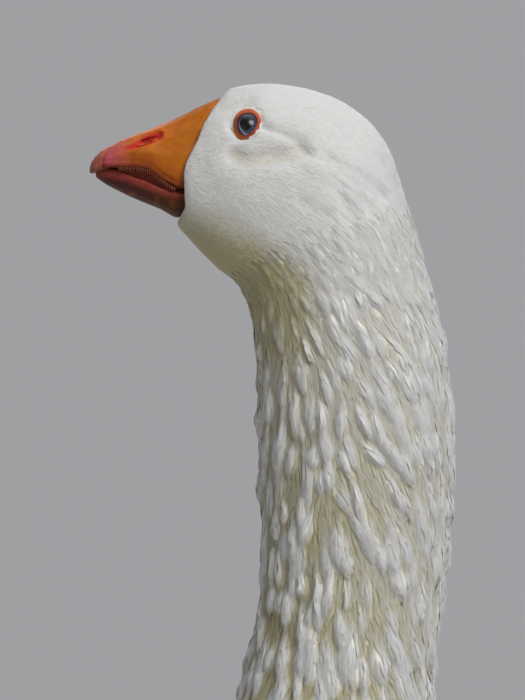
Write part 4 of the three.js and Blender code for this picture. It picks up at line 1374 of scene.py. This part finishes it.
def build_eyeball(name, eye, material):
    rings, segments = 44, 64
    tilt = np.linspace(0, math.radians(112), rings)[1:]
    turn = np.linspace(0, TURN, segments, endpoint=False)
    height = np.repeat(np.cos(tilt)[:, None], segments, axis=1)
    local = np.stack([np.outer(np.sin(tilt), np.cos(turn)), np.outer(np.sin(tilt), np.sin(turn)),
                      height], axis=-1)
    local = EYE_RADIUS * np.concatenate([[[0, 0, 1]], local.reshape(-1, 3)])
    k = np.arange(rings - 2)[:, None] * segments + 1
    j = np.arange(segments)
    following = (j + 1) % segments
    quads = np.stack([k + j, k + segments + j, k + segments + following, k + following], axis=-1)
    caps = np.stack([np.zeros(segments, int), 1 + j, 1 + following], axis=-1)
    if eye.mirrored:
        quads, caps = quads[..., ::-1], caps[..., ::-1]
    loops = np.concatenate([quads.ravel(), caps.ravel()])
    sizes = np.concatenate([np.full(quads.size // 4, 4), np.full(segments, 3)])
    mesh = mesh_from(name, eye.place(local), loops, sizes)
    (a, b), (c, d) = (((local[:, 0] - part["forward"]) / part["wide"],
                       (local[:, 1] - part["up"]) / part["high"]) for part in (IRIS, PUPIL))
    q, turned = np.hypot(a, b), np.arctan2(b, a)
    fibres = 0.5 + 0.5 * np.sin(turned * 37 + 2 * np.sin(turned * 11))
    # painted light and shade on the iris: a crescent of light on its lower front, and the brow's
    # shadow on its upper back
    lit_crescent = smoothstep(0.3, 0.9, (a * 0.75 - b * 0.65) / np.maximum(q, 1e-6))
    iris = laid_over(srgb(52, 57, 80), (0.4 * fibres, srgb(74, 80, 104)),
                     (smoothstep(-0.1, 0.8, b * 0.8 - a * 0.6) * 0.75, srgb(30, 32, 40)),
                     (lit_crescent * smoothstep(0.78, 0.9, q) * 0.9, srgb(134, 140, 166)))
    front = smoothstep(-0.4, 0.6, a / np.maximum(q, 1e-6))
    white = laid_over(srgb(20, 16, 20), (front, srgb(66, 22, 22)))
    tone = laid_over(srgb(6, 6, 9), (smoothstep(0.93, 1.07, np.hypot(c, d)), iris),
                     (smoothstep(0.95, 1.02, q), white))
    paint(mesh, "tone", tone)
    return add_piece(name, mesh, material, (name.replace("eyeball", "eye"),))


def build_ring(name, eye, outline, material):
    """The bare orange ring of the lids, from the eyeball out to the feathers."""
    segments = 56
    turn = np.linspace(-math.pi, math.pi, segments, endpoint=False)
    edge, band = (np.interp(turn, RING_ANGLES, v, period=TURN) for v in (RING_RADII, RING[:, 2]))
    edge, band = (mean_of_ring(mean_of_ring(v)) for v in (edge, band))
    inner = edge - band
    cos, sin = np.cos(turn), np.sin(turn)

    def head(radius):
        places = eye.place(np.stack([radius * cos, radius * sin, 0 * cos], axis=1))
        return eye.across_and_height(outline.cast(places, -eye.out, 0.03)[0])[1]

    brow = np.maximum(head(edge + 0.6), 2.0)
    creases = 0.07 * np.sin(turn * 23) + 0.05 * np.sin(turn * 41 + 1)
    rows = [
        (inner - 0.7, ball(inner - 0.7) - 0.9),
        (inner - 0.1, ball(inner - 0.1) + 0.12),
        (inner + 0.18 * band, ball(inner + 0.1) + 0.55 + creases),
        (inner + 0.55 * band, np.maximum(ball(inner + 0.55 * band), brow) + 0.75 - creases),
        (edge - 0.1 * band, brow + 0.55 + creases),
        (edge + 0.25, brow - 0.1),
        (edge + 0.2, brow - 1.6),
        (inner + 0.4 * band, ball(inner + 0.4 * band) - 1.8),
    ]
    local = np.stack([np.stack([r * cos, r * sin, h], axis=-1) for r, h in rows], axis=1)
    count = len(rows)
    i = np.arange(segments)[:, None]
    j = np.arange(count)
    quads = np.stack([((i + di) % segments) * count + (j + dj) % count
                      for di, dj in ((0, 0), (0, 1), (1, 1), (1, 0))], axis=-1)
    if not eye.mirrored:
        quads = quads[..., ::-1]
    sizes = np.full(segments * count, 4)
    mesh = mesh_from(name, eye.place(local.reshape(-1, 3)), quads.ravel(), sizes)
    front = np.repeat(smoothstep(-0.4, 0.9, 0.85 * cos - 0.4 * sin), count)
    bottom = np.repeat(smoothstep(0.6, 1.0, -sin), count)
    inside = np.tile([1, 1, 0.85, 0.25, 0, 0, 0, 0.6], segments)
    paint(mesh, "tone", laid_over(srgb(190, 82, 40), (front, srgb(196, 116, 46)),
                                  (bottom * 0.6, srgb(140, 58, 30)),
                                  (inside * (0.55 + 0.4 * front), srgb(78, 26, 24))))
    piece = add_piece(name, mesh, material, (name.replace("eyering", "eyelid"),))
    modifier = piece.modifiers.new("round", "SUBSURF")
    modifier.levels = modifier.render_levels = 2
    return piece


# ---------------------------------------------------------------- legs

def build_leg(side_name, material):
    nodes = (f"shank_{side_name}", f"foot_{side_name}")
    form = Surface(remeshed(f"leg_{side_name}", nodes, 1.05, 0.26), 6)
    up = form.points[:, 2] / MM
    form.points[:, 2] = np.maximum(up, 0.02) * MM
    form.refresh()
    web = smoothstep(0.75, 0.98, np.abs(form.normals[:, 2])) * smoothstep(7, 3.5, up)
    knuckle = (1 - web) * smoothstep(8, 4, up) * smoothstep(0.5, 0.9, form.normals[:, 2])
    add_painted(form, f"leg_{side_name}", material, "leg_skin", nodes, srgb(214, 118, 38),
                (web * 0.8, srgb(204, 104, 30)), (knuckle, srgb(226, 150, 78)))


def build_claw(node, material):
    form = Surface(remeshed(node + "_horn", (node,), 0.4, 0.05), 4)
    front, back = (corner.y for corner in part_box(node))
    tip = smoothstep(0.2, 0.9, (back - form.points[:, 1]) / (back - front))
    add_painted(form, node + "_horn", material, "claw", (node,), srgb(190, 150, 112),
                (tip, srgb(226, 206, 176)))


# ---------------------------------------------------------------- assembly

outline = build_outline()
crests = lay_crests(outline)
build_skin(outline, crests)

FEATHERS = {
    "coat": feather_material("neck_feathers", 0.2, 0.75, 9.0, glow=0.45),
    "vane": feather_material("vane_feathers", 0.3, 0.3),
    "face": feather_material("face_feathers", 0.08, 0.7, 26.0, fluff=0.001),
    "quill": feather_material("quill_feathers", 0.25, 0.1),
}
relief = build_relief(outline, crests)
build_coat({"outline": outline, "relief": relief}, FEATHERS)
bpy.data.meshes.remove(relief.mesh)
build_wings(outline, FEATHERS["quill"])
build_tail(FEATHERS["quill"])

bill_material = painted_material("bill_horn", 0.0009, 0.0003, 0.28, (0.4, 0.55),
                                 Subsurface_Weight=0.12, Subsurface_Scale=0.002,
                                 Specular_IOR_Level=0.16)
nail_material = painted_material("nail_horn", 0.0012, 0.0002, 0.25, (0.35, 0.5),
                                 Specular_IOR_Level=0.3)
ring_material = painted_material("eye_ring", 0.0006, 0.0003, 0.2, (0.45, 0.6),
                                 Subsurface_Weight=0.1, Subsurface_Scale=0.001,
                                 Specular_IOR_Level=0.3)
eye_material = painted_material("eyeball", 0.0004, 0.00002, 0.0, (0.16, 0.2),
                                Specular_IOR_Level=0.3)
claw_material = painted_material("claw_horn", 0.0008, 0.0002, 0.2, (0.3, 0.45))
leg_material = scaly_material("leg_scales")

for build in (build_upper_bill, build_lower_bill, build_lamellae):
    build(bill_material)
build_nail(nail_material)
for side_name, eye in EYES.items():
    build_eyeball(f"eyeball_{side_name}", eye, eye_material)
    build_ring(f"eyering_{side_name}", eye, outline, ring_material)
    build_leg(side_name, leg_material)
    for toe in ("inner", "middle", "outer"):
        build_claw(f"claw_{toe}_{side_name}", claw_material)
bpy.data.meshes.remove(outline.mesh)

# ---------------------------------------------------------------- scene

# The place that the camera looks at, its distance, how far it looks down, in degrees, and the
# height of its view, in mm.
CAMERA = {"forward": 41.25, "up": 697.0, "distance": 1100.0, "tilt": 3.0, "view_height": 350.0}
SENSOR = 36.0
BACKDROP = srgb(160, 160, 163)
# Each lamp's place from the goose's head, in metres, its width, power and colour.
LAMPS = (
    ("key", (1.75, 1.1, 1.8), 1.3, 66.0, (1.0, 0.99, 0.97)),
    ("top", (0.0, 0.1, 1.9), 1.6, 10.0, (1.0, 1.0, 1.0)),
    ("fill", (1.9, -1.3, 0.2), 1.6, 3.0, (0.97, 0.98, 1.0)),
    ("back", (-1.9, 0.2, 0.7), 1.6, 18.0, (1.0, 1.0, 1.0)),
)


def aim(holder, place, target):
    holder.location = place
    way = Vector(target) - Vector(place)
    holder.rotation_euler = way.to_track_quat("-Z", "Y").to_euler()


def build_camera():
    camera = bpy.data.cameras.new("camera")
    holder = new_object("camera", camera)
    target = spot(CAMERA["forward"], CAMERA["up"])
    tilt = math.radians(CAMERA["tilt"])
    back = np.array([math.cos(tilt), 0.0, math.sin(tilt)]) * CAMERA["distance"] * MM
    aim(holder, target + back, target)
    camera.sensor_fit = "VERTICAL"
    camera.sensor_height = SENSOR
    camera.lens = SENSOR * CAMERA["distance"] / CAMERA["view_height"]
    camera.clip_start = 0.01
    bpy.context.scene.camera = holder


def build_lights():
    head = spot(20, 700)
    for name, place, width, watts, colour in LAMPS:
        lamp = bpy.data.lights.new(name, "AREA")
        lamp.shape = "RECTANGLE"
        lamp.size = lamp.size_y = width
        lamp.energy, lamp.color = watts, colour
        aim(new_object(name, lamp), head + place, head)


def build_room():
    """A pale floor that fades into an even grey background."""
    bpy.ops.mesh.primitive_circle_add(vertices=96, radius=6.0, fill_type="NGON",
                                      location=(0, 0, -0.0005))
    floor = bpy.context.object
    floor.name = "floor"
    m = Material("floor", Roughness=0.85)
    speckle = m.between(m.noise(60.0, 4.0), 0.3, 0.7)
    m.set(Base_Color=m.mix(speckle, srgb(205, 204, 200), srgb(214, 213, 210)))
    away = m.node("VectorMath", {"operation": "LENGTH"}, i0=m.place()).outputs["Value"]
    m.shown_over(m.shader, m.between(away, 1.0, 2.6), m.node("Emission", Color=BACKDROP),
                 "Material Output")
    floor.data.materials.append(m.material)

    world = bpy.data.worlds.new("studio")
    bpy.context.scene.world = world
    world.use_nodes = True
    w = Nodes(world.node_tree)
    fill = w.tree.nodes["Background"]
    w.feed(fill.inputs["Color"], (0.97, 0.98, 1.0))
    w.feed(fill.inputs["Strength"], 0.16)
    w.shown_over(fill, 1.0, w.node("Background", Color=BACKDROP), "World Output")


build_camera()
build_room()
build_lights()
bpy.context.scene.view_settings.view_transform = "Standard"
